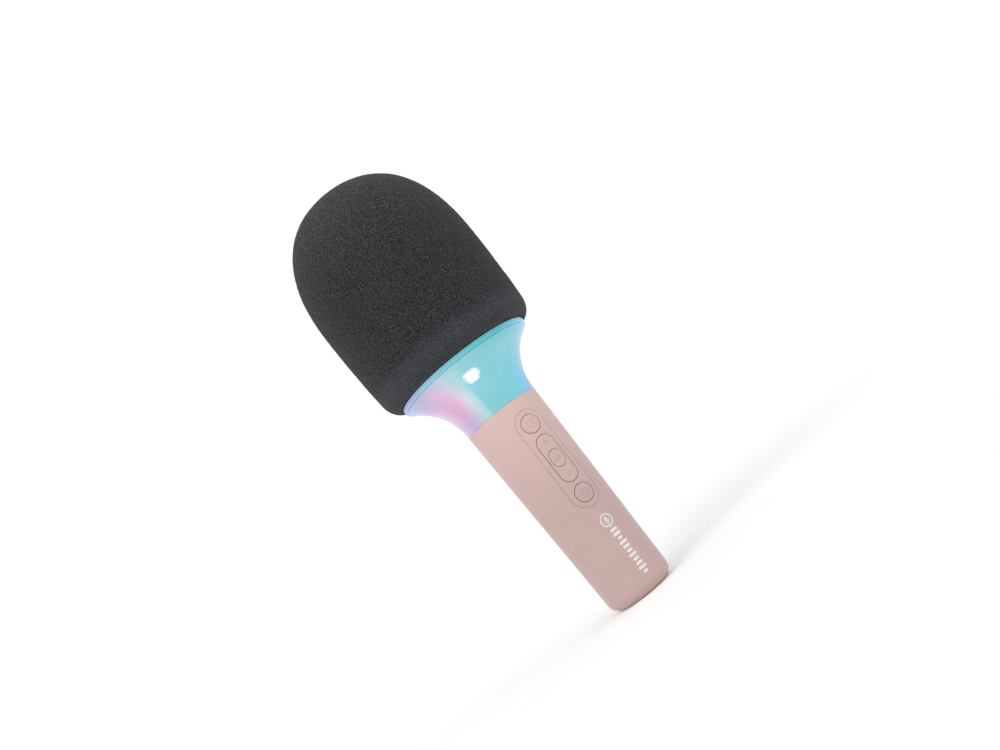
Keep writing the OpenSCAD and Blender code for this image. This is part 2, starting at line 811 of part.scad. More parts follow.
module cradle(z) {
    translate([0, 0, z]) difference() {
        translate([-cradle_size[0] / 2, spine_y + spine_root, 0]) cube(cradle_size);
        translate([0, cell_y, -1]) cylinder(h = cradle_size[2] + 2, r = cell_r + cell_gap);
    }
}

module chassis() color([0.9, 0.9, 0.9]) difference() {
    union() {
        translate([-spine_w / 2, spine_y, board_z]) cube([spine_w, spine_t, collar_z - board_z - 1]);
        translate([0, 0, collar_z - disc_t]) cylinder(h = disc_t, r = disc_r);
        end_wall(cell_z - tab_t - end_wall_t);
        end_wall(cell_z + cell_h + tab_t);
        for (z = cradle_zs) cradle(z);
        for (x = [-1, 1], z = board_screw_zs) translate([x * board_screw_x, board_back_y, z])
            rotate([-90, 0, 0]) cylinder(h = spacer_h, r = spacer_r);
    }
    board_screw_places() translate([0, 0, -board_screw_h - board_t])
        cylinder(h = board_hole_h, r = screw_r + screw_gap);
    translate([-top_window[0] / 2, spine_y - 1, top_window_z])
        cube([top_window[0], spine_t + 2, top_window[1]]);
    translate([0, 0, collar_z - disc_t - 1]) cylinder(h = floor_hole_h, r = cable_hole_r);
    translate([-lead_window[0] / 2, lead_window_y + lead_window[1] / 2 - disc_r, collar_z - disc_t - 1])
        cube([lead_window[0], disc_r, disc_t + 2]);
    at_angles(cup_screw_angles, cup_screw_ring_r) translate([0, 0, collar_z - cup_screw_h])
        cylinder(h = cup_screw_h + 1, r = screw_r + screw_gap);
}

module battery_cell() color([0.2, 0.45, 0.75]) translate([0, cell_y, cell_z]) {
    cylinder(h = cell_h - cell_nub_h, r = cell_r);
    cylinder(h = cell_h, r = cell_nub_r);
}

module battery_tabs() color([0.8, 0.8, 0.78])
    for (z = [cell_z - tab_t, cell_z + cell_h])
        translate([0, cell_y, z]) cylinder(h = tab_t, r = tab_r);

module positive_lead() color([0.75, 0.1, 0.1]) {
    top = cell_z + cell_h + tab_t;
    lead([[0, cell_y, top], [0, cell_y, top + 5], [0, 3, 88], [0, -3, 89],
          [0, board_back_y, 89]], [1, 0, 0]);
}

module negative_lead() color([0.08, 0.08, 0.08])
    lead([[0, cell_y, cell_z - tab_t], [0, cell_y, 10.6], [0, 2.5, 9.3], [0, -3, 9.3],
          [0, board_back_y, 9.3]], [1, 0, 0]);

// The speaker's two leads: up from the board, in through the ring board's hole, then out
// between the lights and up to the basket
module speaker_leads() color([0.7, 0.12, 0.1])
    for (s = [-1, 1])
        lead([[8.2 + s * 0.8, -10.2, 94.5], [8.2 + s * 0.8, -10.2, 99],
              [8.2 + s * 0.8, -10.2, 102.4], [5.5, -6.5 + s * 0.8, 103],
              [2.6 + s * 0.5, -2.2 + s, 103.6], polar(2.6, 107.4, 8 + s * 24),
              polar(9, 108, s * 6), polar(15.5, 108.6, s * 4), polar(16.6, 113, s * 4),
              polar(18.6, 121, s * 4), polar(19.9, 127.4, s * 4)], [0.3, -1, 0.05], 0.45);

// The microphone capsule's lead: out through a gap between the lights, up beside the
// loudspeaker and behind a rib of the cage
module mic_lead() color([0.12, 0.12, 0.12]) {
    a = mic_lead_angle;
    gap = round(a * led_count / 360) * 360 / led_count;
    lead([[-7.6, -10.2, 94.5], [-7.6, -10.2, 99], [-7.6, -10.2, 102.4], [-5.4, -6.5, 103],
          [-2.4, -2.4, 103.4], polar(2.4, 107.2, gap), polar(8, 107.9, gap),
          polar(15.4, 108.4, gap), polar(16.2, 112, gap), polar(20.5, 120, a),
          polar(25.4, 126.5, a), polar(mic_lead_pass_r, 129.6, a),
          polar(mic_lead_pass_r, 140, a), polar(29.4, 160, a), polar(29.4, 188, a),
          polar(24, 203, a), polar(14, 208, a), polar(5, 207, a), [0, 0, 209],
          [0, 0, capsule_z]], [-1, 0.35, 0.02], 0.5);
}

// The ring board's lead: off the board's front, up through the window, and in to the ring
module led_lead() color([0.9, 0.9, 0.85])
    lead([[3.6, board_front_y, 94], [3.6, -11, 94], [3.6, -11.6, 98], [3.7, -11.4, 102],
          [3.8, -8.4, 102.6], [3.8, -7.6, 103.2], [3.8, -7.6, led_board_z]], [1, 0.1, 0]);

foam_windscreen();
grille_cage();
cage_screws();
capsule_holder();
mic_capsule();
rim_ring();
diffuser_cup();
cup_screws();
led_board();
leds();
led_board_screws();
speaker_gasket();
speaker_frame();
speaker_surround();
speaker_cone();
speaker_dust_cap();
speaker_spider();
voice_coil();
speaker_top_plate();
speaker_magnet();
speaker_yoke();
handle_shell();
button_panel();
effect_button();
effect_plunger();
volume_rocker();
volume_plungers();
play_button();
play_plunger();
power_button();
power_plunger();
main_board();
tact_switches();
board_chips();
bluetooth_module();
board_capacitors();
lead_sockets();
board_screws();
usb_shell();
usb_tongue();
chassis();
battery_cell();
battery_tabs();
positive_lead();
negative_lead();
speaker_leads();
mic_lead();
led_lead();
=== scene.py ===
"""The looks of the toy karaoke microphone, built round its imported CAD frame.

The foam, the light-up cup, the rim, the handle, its panel and the keys are rebuilt as fine
meshes with rounded edges. Every other CAD node keeps its mesh and gets its material here.
Shapes are worked out in millimetres and turned into metres when a piece is made.
"""

import json
import math

import bmesh
import bpy
import numpy as np
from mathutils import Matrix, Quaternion, Vector, geometry, noise


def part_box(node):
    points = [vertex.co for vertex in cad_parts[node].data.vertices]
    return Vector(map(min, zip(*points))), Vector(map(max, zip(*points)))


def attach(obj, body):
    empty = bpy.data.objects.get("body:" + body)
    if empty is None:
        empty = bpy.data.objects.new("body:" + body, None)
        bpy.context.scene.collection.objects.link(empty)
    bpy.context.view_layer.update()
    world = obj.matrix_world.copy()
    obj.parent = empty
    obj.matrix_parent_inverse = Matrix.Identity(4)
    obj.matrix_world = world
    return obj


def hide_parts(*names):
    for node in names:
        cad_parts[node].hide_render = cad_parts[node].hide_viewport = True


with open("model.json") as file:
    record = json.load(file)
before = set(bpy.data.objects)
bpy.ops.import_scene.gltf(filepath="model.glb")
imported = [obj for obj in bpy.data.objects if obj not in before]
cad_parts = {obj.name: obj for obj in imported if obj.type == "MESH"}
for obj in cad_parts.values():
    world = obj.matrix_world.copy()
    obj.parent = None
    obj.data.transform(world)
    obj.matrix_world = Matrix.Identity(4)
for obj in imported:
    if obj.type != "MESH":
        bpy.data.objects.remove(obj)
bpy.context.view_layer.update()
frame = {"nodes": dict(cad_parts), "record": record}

MM = 0.001


def box_mm(node):
    """Lowest and highest corner of a CAD node, in millimetres."""
    low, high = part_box(node)
    return low / MM, high / MM


# ---- sizes, in millimetres ----

HANDLE_H = box_mm("handle_shell")[1].z
HANDLE_TOP_R = box_mm("handle_shell")[1].x
HANDLE_BASE_R = 16.6
HANDLE_WALL = 2.0
BASE_ROUND_R = 5.5
FLOOR_T = 2.5

CUP_LOW, CUP_HIGH = box_mm("diffuser_cup")
RIM_LOW, RIM_HIGH = box_mm("rim_ring")
RIM_R = RIM_HIGH.x
CUP_WALL = 2.0
SEAM_Z = (CUP_HIGH.z + RIM_LOW.z) / 2
FLARE_DR = RIM_R - HANDLE_TOP_R
FLARE_R = ((SEAM_Z - HANDLE_H) ** 2 + FLARE_DR ** 2) / (2 * FLARE_DR)
FLARE_X = HANDLE_TOP_R + FLARE_R

FOAM_LOW, FOAM_HIGH = box_mm("foam_windscreen")
CAGE_HIGH = box_mm("grille_cage")[1]
FOAM_WIDE_Z = 180.5
FOAM_LOW_R = 41.8
FOAM_FOOT_R = RIM_R + 1
FOAM_TURN_H = 9.5
FOAM_POWER = 2.45
FOAM_BORE_R = CAGE_HIGH.x + 0.4
CREASE_Z = FOAM_LOW.z + FOAM_TURN_H + 2
CAGE_DOME_Z = CAGE_HIGH.z - CAGE_HIGH.x

PANEL_LOW, PANEL_HIGH = box_mm("button_panel")
PANEL_Z = (PANEL_LOW.z + PANEL_HIGH.z) / 2
PANEL_FLANGE = 1.0
PANEL_W = PANEL_HIGH.x - PANEL_LOW.x - 2 * PANEL_FLANGE
PANEL_H = PANEL_HIGH.z - PANEL_LOW.z - 2 * PANEL_FLANGE
KEY_GAP = 0.3
KEY_PROUD = 0.15
KEY_FLANGE = 0.8
BUTTON_R = box_mm("effect_button")[1].x - KEY_FLANGE
PLAY_LOW, PLAY_HIGH = box_mm("play_button")
PLAY_W = 2 * (PLAY_HIGH.x - KEY_FLANGE)
PLAY_H = PLAY_HIGH.z - PLAY_LOW.z - 2 * KEY_FLANGE
PIVOT_LEN = 1.3
PIVOT_R = 0.75
PIVOT_Y = -15.9
ROCKER_REACH = 9.0
ROCKER_LOW, ROCKER_HIGH = box_mm("volume_rocker")
ROCKER_W = 2 * (ROCKER_HIGH.x - PIVOT_LEN)
ROCKER_H = ROCKER_HIGH.z - ROCKER_LOW.z


def middle_z(node):
    low, high = box_mm(node)
    return (low.z + high.z) / 2


EFFECT_Z = middle_z("effect_plunger")
POWER_Z = middle_z("power_plunger")
PLUNGER_TIP_Y = box_mm("effect_plunger")[0].y
WELD = 1e-4                 # points of one piece that are closer than this become one


# ---- outlines ----

def stadium(width, height, x=0.0, z=0.0, count=96):
    """A loop of points round a stadium or, if width and height are the same, a circle."""
    r = min(width, height) / 2
    up, along = max(height - width, 0) / 2, max(width - height, 0) / 2
    length = 2 * math.pi * r + 4 * (up + along)
    quarter = math.pi * r / 2
    # the middle of each rounded corner, then the length and direction of the straight after it
    corners = [(along, up, 2 * along, -1, 0), (-along, up, 2 * up, 0, -1),
               (-along, -up, 2 * along, 1, 0), (along, -up, 2 * up, 0, 1)]
    points = []
    for k in range(count):
        s = length * k / count
        for turn, (cx, cz, straight, dx, dz) in enumerate(corners):
            if s < quarter:
                a = math.radians(90 * turn) + s / r
                points.append((x + cx + r * math.cos(a), z + cz + r * math.sin(a)))
                break
            s -= quarter
            if s < straight or turn == 3:
                points.append((x + cx + r * dz + s * dx, z + cz - r * dx + s * dz))
                break
            s -= straight
    return points


def arc_band(inner, outer, start, end, x=0.0, z=0.0, steps=24):
    """A loop round a part of a ring, between two angles in degrees."""
    return arc((x, z), outer, start, end, steps) + arc((x, z), inner, start, end, steps)[::-1]


def sparkle(radius, x=0.0, z=0.0, count=48, power=0.62):
    """A loop round a four-pointed star with hollow sides."""
    points = []
    for k in range(count):
        a = 2 * math.pi * k / count
        c, s = math.cos(a), math.sin(a)
        points.append((x + radius * math.copysign(abs(c) ** (2 / power), c),
                       z + radius * math.copysign(abs(s) ** (2 / power), s)))
    return points


def resample(points, step):
    """The same line with points a step apart."""
    p = np.array(points, float)
    along = np.concatenate([[0], np.cumsum(np.linalg.norm(np.diff(p, axis=0), axis=1))])
    places = np.linspace(0, along[-1], max(2, int(round(along[-1] / step)) + 1))
    return [tuple(np.interp(s, along, p[:, k]) for k in range(2)) for s in places]


def arc(centre, radius, start, end, steps):
    """Points on an arc from one angle to another, in degrees."""
    angles = [math.radians(start + (end - start) * k / steps) for k in range(steps + 1)]
    return [(centre[0] + radius * math.cos(a), centre[1] + radius * math.sin(a)) for a in angles]


# ---- meshes ----

def stitch(a, na, b, nb):
    """Faces between two rings of points. One may have half the other's points, or be a pole."""
    if na == 1:
        return [(a, b + (k + 1) % nb, b + k) for k in range(nb)]
    if nb == 1:
        return [(a + k, a + (k + 1) % na, b) for k in range(na)]
    if na == nb:
        return [(a + k, a + (k + 1) % na, b + (k + 1) % nb, b + k) for k in range(na)]
    faces = []
    for k in range(min(na, nb)):
        if na > nb:
            p, q, s = a + 2 * k, a + 2 * k + 1, a + (2 * k + 2) % na
            u, v = b + k, b + (k + 1) % nb
            faces += [(p, q, u), (q, v, u), (q, s, v)]
        else:
            p, q, s = b + 2 * k, b + 2 * k + 1, b + (2 * k + 2) % nb
            u, v = a + k, a + (k + 1) % na
            faces += [(q, p, u), (q, u, v), (s, q, v)]
    return faces


def turned(profile, segments, closed=False):
    """A profile of (radius, height) turned about Z. It runs up the outside and down the inside.
    segments is one count, or one for each point. A point on the axis becomes a pole."""
    counts = segments if isinstance(segments, list) else [segments] * len(profile)
    counts = [1 if r < 1e-6 else n for (r, z), n in zip(profile, counts)]
    verts, starts = [], []
    for (r, z), n in zip(profile, counts):
        starts.append(len(verts))
        for k in range(n):
            a = 2 * math.pi * k / n
            verts.append((r * math.cos(a), r * math.sin(a), z))
    last = len(profile) - 1
    pairs = [(i, i + 1) for i in range(last)] + ([(last, 0)] if closed else [])
    faces = [f for i, j in pairs for f in stitch(starts[i], counts[i], starts[j], counts[j])]
    return verts, faces


def inside(points, loops):
    """Which points lie inside an odd number of loops."""
    x, z = points[:, 0], points[:, 1]
    odd = np.zeros(len(points), bool)
    for loop in loops:
        p = np.array(loop, float)
        for (x1, z1), (x2, z2) in zip(p, np.roll(p, -1, axis=0)):
            if z1 == z2:
                continue
            crosses = (z1 > z) != (z2 > z)
            odd ^= crosses & (x < (x2 - x1) * (z - z1) / (z2 - z1) + x1)
    return odd


def fill(loops, step, margin=0.6):
    """Flat triangles between an outer loop and its holes, with points a step apart inside."""
    edge = np.array([p for loop in loops for p in loop], float)
    low, high = edge.min(0), edge.max(0)
    count = np.maximum(np.ceil((high - low) / step).astype(int), 1)
    grid = np.array([(low[0] + (high[0] - low[0]) * i / count[0],
                      low[1] + (high[1] - low[1]) * j / count[1])
                     for i in range(1, count[0]) for j in range(1, count[1])]).reshape(-1, 2)
    if len(grid):
        near = np.array([np.min(np.sum((edge - g) ** 2, axis=1)) for g in grid])
        grid = grid[inside(grid, loops) & (near > (margin * step) ** 2)]
    points = np.vstack([edge, grid]) if len(grid) else edge
    edges, start = [], 0
    for loop in loops:
        edges += [(start + k, start + (k + 1) % len(loop)) for k in range(len(loop))]
        start += len(loop)
    made = geometry.delaunay_2d_cdt([Vector(p) for p in points], edges, [], 1, 1e-7)
    flat = np.array([tuple(v) for v in made[0]])
    centres = np.array([flat[list(f)].mean(axis=0) for f in made[2]])
    kept = [tuple(f) for f, good in zip(made[2], inside(centres, loops)) if good]
    return [tuple(p) for p in flat], kept


def handle_r(z):
    return HANDLE_BASE_R + (HANDLE_TOP_R - HANDLE_BASE_R) * z / HANDLE_H


def on_front(x, z, depth=0.0):
    """The point of the handle's front at x and z, some depth below its surface."""
    r = handle_r(z) - depth
    return (x, -math.sqrt(r * r - x * x), z)


def put(name, data):
    """A new object of the scene with this mesh, lamp or camera."""
    made = bpy.data.objects.new(name, data)
    bpy.context.scene.collection.objects.link(made)
    return made


class Shell:
    """Collects the parts of one piece's mesh, in millimetres."""

    def __init__(self):
        self.verts, self.faces = [], []

    def add(self, verts, faces, flip=False):
        start = len(self.verts)
        self.verts += [tuple(v) for v in verts]
        self.faces += [tuple(start + i for i in (reversed(f) if flip else f)) for f in faces]

    def rings(self, rings):
        """Quads between loops of the same number of 3-D points."""
        n = len(rings[0])
        faces = [f for k in range(len(rings) - 1) for f in stitch(k * n, n, (k + 1) * n, n)]
        self.add([p for ring in rings for p in ring], faces)

    def piece(self, name, body, slot, replaces=(), material=None, joined=False):
        """Makes the Blender object, in metres, with its slot's material unless another is
        given. Unless its parts are joined, they are welded and their normals turned out."""
        mesh = bpy.data.meshes.new(name)
        mesh.from_pydata([tuple(c * MM for c in v) for v in self.verts], [], self.faces)
        if not joined:
            work = bmesh.new()
            work.from_mesh(mesh)
            bmesh.ops.remove_doubles(work, verts=work.verts, dist=WELD * MM)
            bmesh.ops.delete(work, geom=[v for v in work.verts if not v.link_faces])
            bmesh.ops.recalc_face_normals(work, faces=work.faces)
            work.to_mesh(mesh)
            work.free()
        mesh.polygons.foreach_set("use_smooth", [True] * len(mesh.polygons))
        mesh.materials.append(material or materials[slot])
        made = put(name, mesh)
        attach(made, body)
        if replaces:
            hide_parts(*replaces)
        return made


def edge_round(radius, steps=4):
    """(inset, depth) pairs down a rounded edge, from the face to the wall."""
    turns = [math.pi / 2 * k / steps for k in range(steps + 1)]
    return [(radius * (1 - math.sin(a)), radius * (1 - math.cos(a))) for a in turns]


class Front:
    """A piece that follows the handle's front: a plate between depths, with an outline and
    holes that are stadiums given as (width, height, middle z, edge rounding)."""

    draft = (-0.22, -0.15)  # how much narrower and shorter a hole gets on its way down
    gap_depth = 0.16        # how far below its edge that is

    def __init__(self, outline, holes=(), proud=0.0, crown=0.0):
        self.shell = Shell()
        self.outline, self.holes = outline, list(holes)
        self.proud, self.crown = proud, crown

    def loop(self, shape, grow):
        """An outline moved out by grow, or by one distance sideways and another endways."""
        w, h, z, edge = shape
        count = max(48, int((w + h) * 5) // 8 * 8)
        wider, longer = grow if isinstance(grow, tuple) else (grow, grow)
        return stadium(w + 2 * wider, h + 2 * longer, 0, z, count)

    def crowned(self, x, z):
        """How far the middle of the top swells above its edge."""
        w, h, middle, edge = self.outline
        across = min(1, abs(x) / (w / 2))
        along = max(0, abs(z - middle) - max(h - w, 0) / 2) / (w / 2)
        return self.crown * max(0, 1 - across ** 2 - along ** 2)

    def build(self, profile, top_step, back_step):
        """The whole plate: its top, its walls down a profile, and its back at their end."""
        self.top(top_step)
        self.walls(profile)
        self.back(*profile[-1], back_step)
        return self.shell

    def top(self, step):
        loops = [self.loop(self.outline, -self.outline[3])]
        loops += [self.loop(hole, hole[3]) for hole in self.holes]
        flat, faces = fill(loops, step)
        self.shell.add([on_front(x, z, -self.proud - self.crowned(x, z)) for x, z in flat], faces)

    def walls(self, profile):
        """Walls round the outline and the holes. profile is a list of (outward, depth) below
        the rounded edge, for the outline only; a hole narrows by draft within gap_depth and
        then goes straight down to the last depth."""
        outer = [(-inset, depth - self.proud) for inset, depth in edge_round(self.outline[3])]
        self.ring_wall(self.outline, outer + profile)
        for hole in self.holes:
            inner = [(inset, depth - self.proud) for inset, depth in edge_round(hole[3])]
            self.ring_wall(hole, inner + [(self.draft, hole[3] + self.gap_depth),
                                           (self.draft, profile[-1][1])])

    def ring_wall(self, shape, places):
        self.shell.rings([[on_front(x, z, depth - (self.crowned(x, z) if k == 0 else 0))
                           for x, z in self.loop(shape, grow)]
                          for k, (grow, depth) in enumerate(places)])

    def back(self, grow, depth, step):
        loops = [self.loop(self.outline, grow)]
        loops += [self.loop(hole, self.draft) for hole in self.holes]
        flat, faces = fill(loops, step)
        self.shell.add([on_front(x, z, depth) for x, z in flat], faces, flip=True)


def along_y(shell, profile, z, segments=32):
    """Adds a turned part whose axis points out through the handle's front, along -Y."""
    verts, faces = turned(profile, segments)
    shell.add([(vx, -vz, z + vy) for vx, vy, vz in verts], faces)


def rod(radius, low, high, edge=0.15):
    """The profile of a short rod with eased ends, standing along Z."""
    return [(0, low), (radius - edge, low), (radius, low + edge),
            (radius, high - edge), (radius - edge, high), (0, high)]


# ---- node materials ----

def feed(tree, node, values):
    """Sets a node's inputs to values, or links them to other nodes' sockets."""
    for key, value in values.items():
        if isinstance(value, bpy.types.NodeSocket):
            tree.links.new(value, node.inputs[key])
        else:
            node.inputs[key].default_value = value


def add(tree, kind, values=None, **settings):
    """A new node with its settings and inputs."""
    made = tree.nodes.new(kind)
    for key, value in settings.items():
        setattr(made, key, value)
    feed(tree, made, values or {})
    return made


def rgb(red, green, blue):
    """Linear colour, with alpha, of a screen colour from 0 to 255."""
    def linear(c):
        c = c / 255
        return c / 12.92 if c <= 0.04045 else ((c + 0.055) / 1.055) ** 2.4
    return (linear(red), linear(green), linear(blue), 1.0)


def start_material(name):
    """A new material: its tree, its shader and the piece's own coordinates, in metres."""
    material = bpy.data.materials.new(name)
    material.use_nodes = True
    tree = material.node_tree
    tree.nodes.clear()
    shader = add(tree, "ShaderNodeBsdfPrincipled")
    add(tree, "ShaderNodeOutputMaterial", {"Surface": shader.outputs["BSDF"]})
    place = add(tree, "ShaderNodeTexCoord").outputs["Object"]
    return material, tree, shader, place


def grain(tree, place, size_mm, detail=2.0, rough=0.5):
    """Noise whose blobs are about size_mm across, from 0 to 1."""
    return add(tree, "ShaderNodeTexNoise", {"Vector": place, "Scale": 1 / (size_mm * MM),
                                            "Detail": detail, "Roughness": rough}).outputs["Fac"]


def between(tree, value, low, high, from_low=0.3, from_high=0.7):
    """value, spread from one range into another."""
    return add(tree, "ShaderNodeMapRange",
               {"Value": value, "From Min": from_low, "From Max": from_high,
                "To Min": low, "To Max": high}).outputs["Result"]


def height_of(tree, place):
    return add(tree, "ShaderNodeSeparateXYZ", {"Vector": place}).outputs["Z"]


def by_height(tree, z, low_value, high_value, low, high):
    """A value that changes from one height to another, both in millimetres."""
    return between(tree, z, low_value, high_value, low * MM, high * MM)


def mixed(tree, share, first, second, blend="MIX"):
    """A colour mix. share, first and second are values or sockets."""
    return add(tree, "ShaderNodeMix", {0: share, 6: first, 7: second},
               data_type="RGBA", blend_type=blend).outputs[2]


def calc(tree, operation, *values):
    return add(tree, "ShaderNodeMath", dict(enumerate(values)), operation=operation).outputs[0]


def bumped(tree, shader, height, depth_mm, over=None):
    """Bumps a shader's surface, on top of another bump if there is one."""
    values = {"Height": height, "Distance": depth_mm * MM}
    if over is not None:
        values["Normal"] = over
    normal = add(tree, "ShaderNodeBump", values).outputs["Normal"]
    feed(tree, shader, {"Normal": normal})
    return normal


def shade(colour, factor):
    return tuple(min(1, c * factor) for c in colour[:3]) + (1.0,)


def plastic(name, colour, roughness, grain_mm, grain_depth, mottle=0.06, sheen=0.0, pale=None):
    """Moulded plastic: a faint mottle, a fine moulded grain, and patches handled smoother.
    pale is a pair of heights in millimetres between which it grows paler, and by how much: painted
    light, standing for the cup's glow falling on it."""
    material, tree, shader, place = start_material(name)
    cloud = grain(tree, place, 14, 3)
    speck = grain(tree, place, grain_mm * 1.7, 2)
    dark = shade(colour, 1 - mottle)
    base = mixed(tree, between(tree, cloud, 0, 1), dark, shade(colour, 1 + mottle))
    base = mixed(tree, between(tree, speck, 0, 0.5), base, dark)
    # painted light: paler towards the top, standing for the cup's glow
    if pale:
        low, high, share = pale
        base = mixed(tree, by_height(tree, height_of(tree, place), 0, 1, low, high), base,
                     shade(colour, 1 + share))
    worn = calc(tree, "ADD", between(tree, cloud, -0.05, 0.05), between(tree, speck, -0.03, 0.03))
    feed(tree, shader, {"Base Color": base, "Roughness": calc(tree, "ADD", worn, roughness),
                        "Sheen Weight": sheen, "Sheen Roughness": 0.4})
    bumped(tree, shader, grain(tree, place, grain_mm, 3), grain_depth)
    return material


def metal(name, colour, roughness, stretch=(1, 1, 12), line_mm=0.25):
    """Metal with fine drawn lines and smoky patches."""
    material, tree, shader, place = start_material(name)
    drawn = add(tree, "ShaderNodeMapping", {"Vector": place, "Scale": stretch}).outputs[0]
    lines = grain(tree, drawn, line_mm, 4, 0.7)
    patches = grain(tree, place, 5, 3)
    smoky = mixed(tree, between(tree, patches, 0, 1), shade(colour, 0.8), colour)
    brushed = calc(tree, "ADD", between(tree, lines, -0.1, 0.12), roughness)
    feed(tree, shader, {"Base Color": smoky, "Roughness": brushed, "Metallic": 1.0})
    bumped(tree, shader, lines, 0.004)
    return material


def foam_material():
    """Open-cell foam: dark pores between paler crumbs, bluish lower down. Painted light makes
    the top and its crumbs paler, as if lit from above, and makes the hem paler, as if lit from the
    floor below; painted shade darkens it again where it turns under."""
    material, tree, shader, place = start_material("foam")
    z = height_of(tree, place)

    def cells(size_mm):
        return add(tree, "ShaderNodeTexVoronoi",
                   {"Vector": place, "Scale": 1 / (size_mm * MM)}).outputs["Distance"]

    pores, pinholes = cells(1.0), cells(0.6)
    speck = grain(tree, place, 0.4, 2, 0.6)
    cloud = grain(tree, place, 16, 3)
    low_down = by_height(tree, z, 0.6, 0, FOAM_LOW.z + 8, FOAM_LOW.z + 60)
    # painted light: paler towards the top, as if lit from above
    top = by_height(tree, z, 0, 0.5, FOAM_WIDE_Z + 5, FOAM_HIGH.z)
    # painted light on the hem, as if lit from the floor below, and painted shade under it where it
    # turns under
    hem = by_height(tree, z, 0.5, 0, CREASE_Z - 5, CREASE_Z + 2)
    under = by_height(tree, z, 0.55, 0, FOAM_LOW.z + 1, CREASE_Z - 2)
    tone = mixed(tree, between(tree, cloud, 0, 1), rgb(27, 27, 28), rgb(32, 32, 33))
    tone = mixed(tree, low_down, tone, rgb(27, 30, 36))
    tone = mixed(tree, top, tone, rgb(47, 48, 48))
    tone = mixed(tree, between(tree, pores, 0.8, 0, 0.12, 0.45), tone, rgb(19, 20, 21))
    tone = mixed(tree, between(tree, pinholes, 0.6, 0, 0.1, 0.4), tone, rgb(21, 22, 24))
    tone = mixed(tree, hem, tone, rgb(67, 69, 75))
    tone = mixed(tree, under, tone, rgb(36, 37, 41))
    # painted light: the crumbs are paler towards the top too
    fleck = mixed(tree, top, rgb(86, 88, 90), rgb(128, 129, 130))
    tone = mixed(tree, between(tree, speck, 0, 0.75, 0.49, 0.64), tone, fleck)
    feed(tree, shader, {"Base Color": tone, "Roughness": 0.95, "Specular IOR Level": 0.15,
                        "Sheen Weight": 0.04, "Sheen Roughness": 0.6})
    first = bumped(tree, shader, pores, 0.14)
    second = bumped(tree, shader, pinholes, 0.08, over=first)
    bumped(tree, shader, speck, 0.14, over=second)
    return material


def ramp(tree, value, stops, smooth):
    """A colour ramp with (position, colour) stops."""
    made = add(tree, "ShaderNodeValToRGB", {"Fac": value})
    made.color_ramp.interpolation = smooth
    elements = made.color_ramp.elements
    while len(elements) < len(stops):
        elements.new(0.5)
    for element, (position, colour) in zip(elements, stops):
        element.position = position
        element.color = colour
    return made.outputs["Color"]


# The glow round the cup, as an angle and its screen colour. 0 degrees faces -Y and 90 faces +X.
# It has one ring of colours at each of four heights, and one more for the rim. In the four cup
# rings, the pale mint streak at about -47 to -34 degrees, with its sharp edge just after, is a
# painted reflection of a studio softbox on top of the glow.
GLOW_AND_REFLECTION_LOW = [
    (-113, 222, 214, 236), (-85, 208, 190, 220), (-66, 200, 175, 209), (-53, 194, 190, 214),
    (-42, 187, 213, 219), (-35, 168, 215, 217), (-31, 134, 202, 206), (-3, 136, 202, 209),
    (20, 132, 207, 225), (42, 140, 200, 236), (110, 160, 190, 240), (180, 196, 190, 240)
]
GLOW_AND_REFLECTION_MID = [
    (-113, 230, 214, 236), (-81, 226, 190, 219), (-71, 222, 174, 208), (-61, 223, 183, 213),
    (-53, 232, 197, 224), (-46, 220, 217, 231), (-38, 194, 225, 232), (-34, 170, 219, 226),
    (-31, 145, 209, 222), (-3, 140, 208, 221), (17, 138, 208, 223), (33, 140, 207, 223),
    (110, 172, 200, 238), (180, 206, 200, 240)
]
GLOW_AND_REFLECTION_HIGH = [
    (-113, 198, 190, 224), (-83, 200, 184, 216), (-72, 210, 192, 220), (-63, 226, 194, 219),
    (-56, 218, 200, 224), (-47, 202, 212, 229), (-35, 178, 221, 225), (-25, 152, 211, 221),
    (-8, 146, 209, 218), (14, 148, 209, 221), (37, 148, 208, 222), (110, 166, 200, 236),
    (180, 190, 196, 236)
]
GLOW_AND_REFLECTION_TOP = [
    (-113, 186, 190, 226), (-72, 182, 188, 219), (-57, 194, 198, 223), (-45, 192, 213, 225),
    (-34, 165, 218, 222), (-23, 158, 211, 219), (-12, 141, 207, 216), (11, 124, 200, 213),
    (26, 136, 203, 220), (110, 160, 198, 234), (180, 186, 194, 234)
]
GLOW_RIM = [
    (-113, 186, 194, 230), (-75, 176, 192, 224), (-50, 160, 208, 222), (-28, 134, 206, 216),
    (-5, 112, 200, 209), (18, 104, 196, 208), (37, 140, 208, 222), (67, 170, 214, 232),
    (180, 186, 194, 236)
]
LOW_Z, MID_Z, HIGH_Z, TOP_Z = HANDLE_H + 3, HANDLE_H + 13.5, SEAM_Z - 4.5, SEAM_Z - 0.5
SEAM_PAINTED_LIGHT = 1.15            # painted light: brightens the seam's faces, which its shade would leave darker
SHARE_OF_GLOW = 0.25        # of the light that the cup sends out by itself
MILK_TONE = 0.76            # of the colour that is left to the lamps outside
DEEPEN = 1.12               # makes up for the white that the skin reflects
PAINTED_HIGHLIGHT_ANGLE, PAINTED_HIGHLIGHT_Z = -23, 122.2     # where a painted highlight, a white spot standing for a studio lamp's reflection, sits on the cup
PAINTED_HIGHLIGHT_HALF_W, PAINTED_HIGHLIGHT_HALF_H = 3.9, 2.6


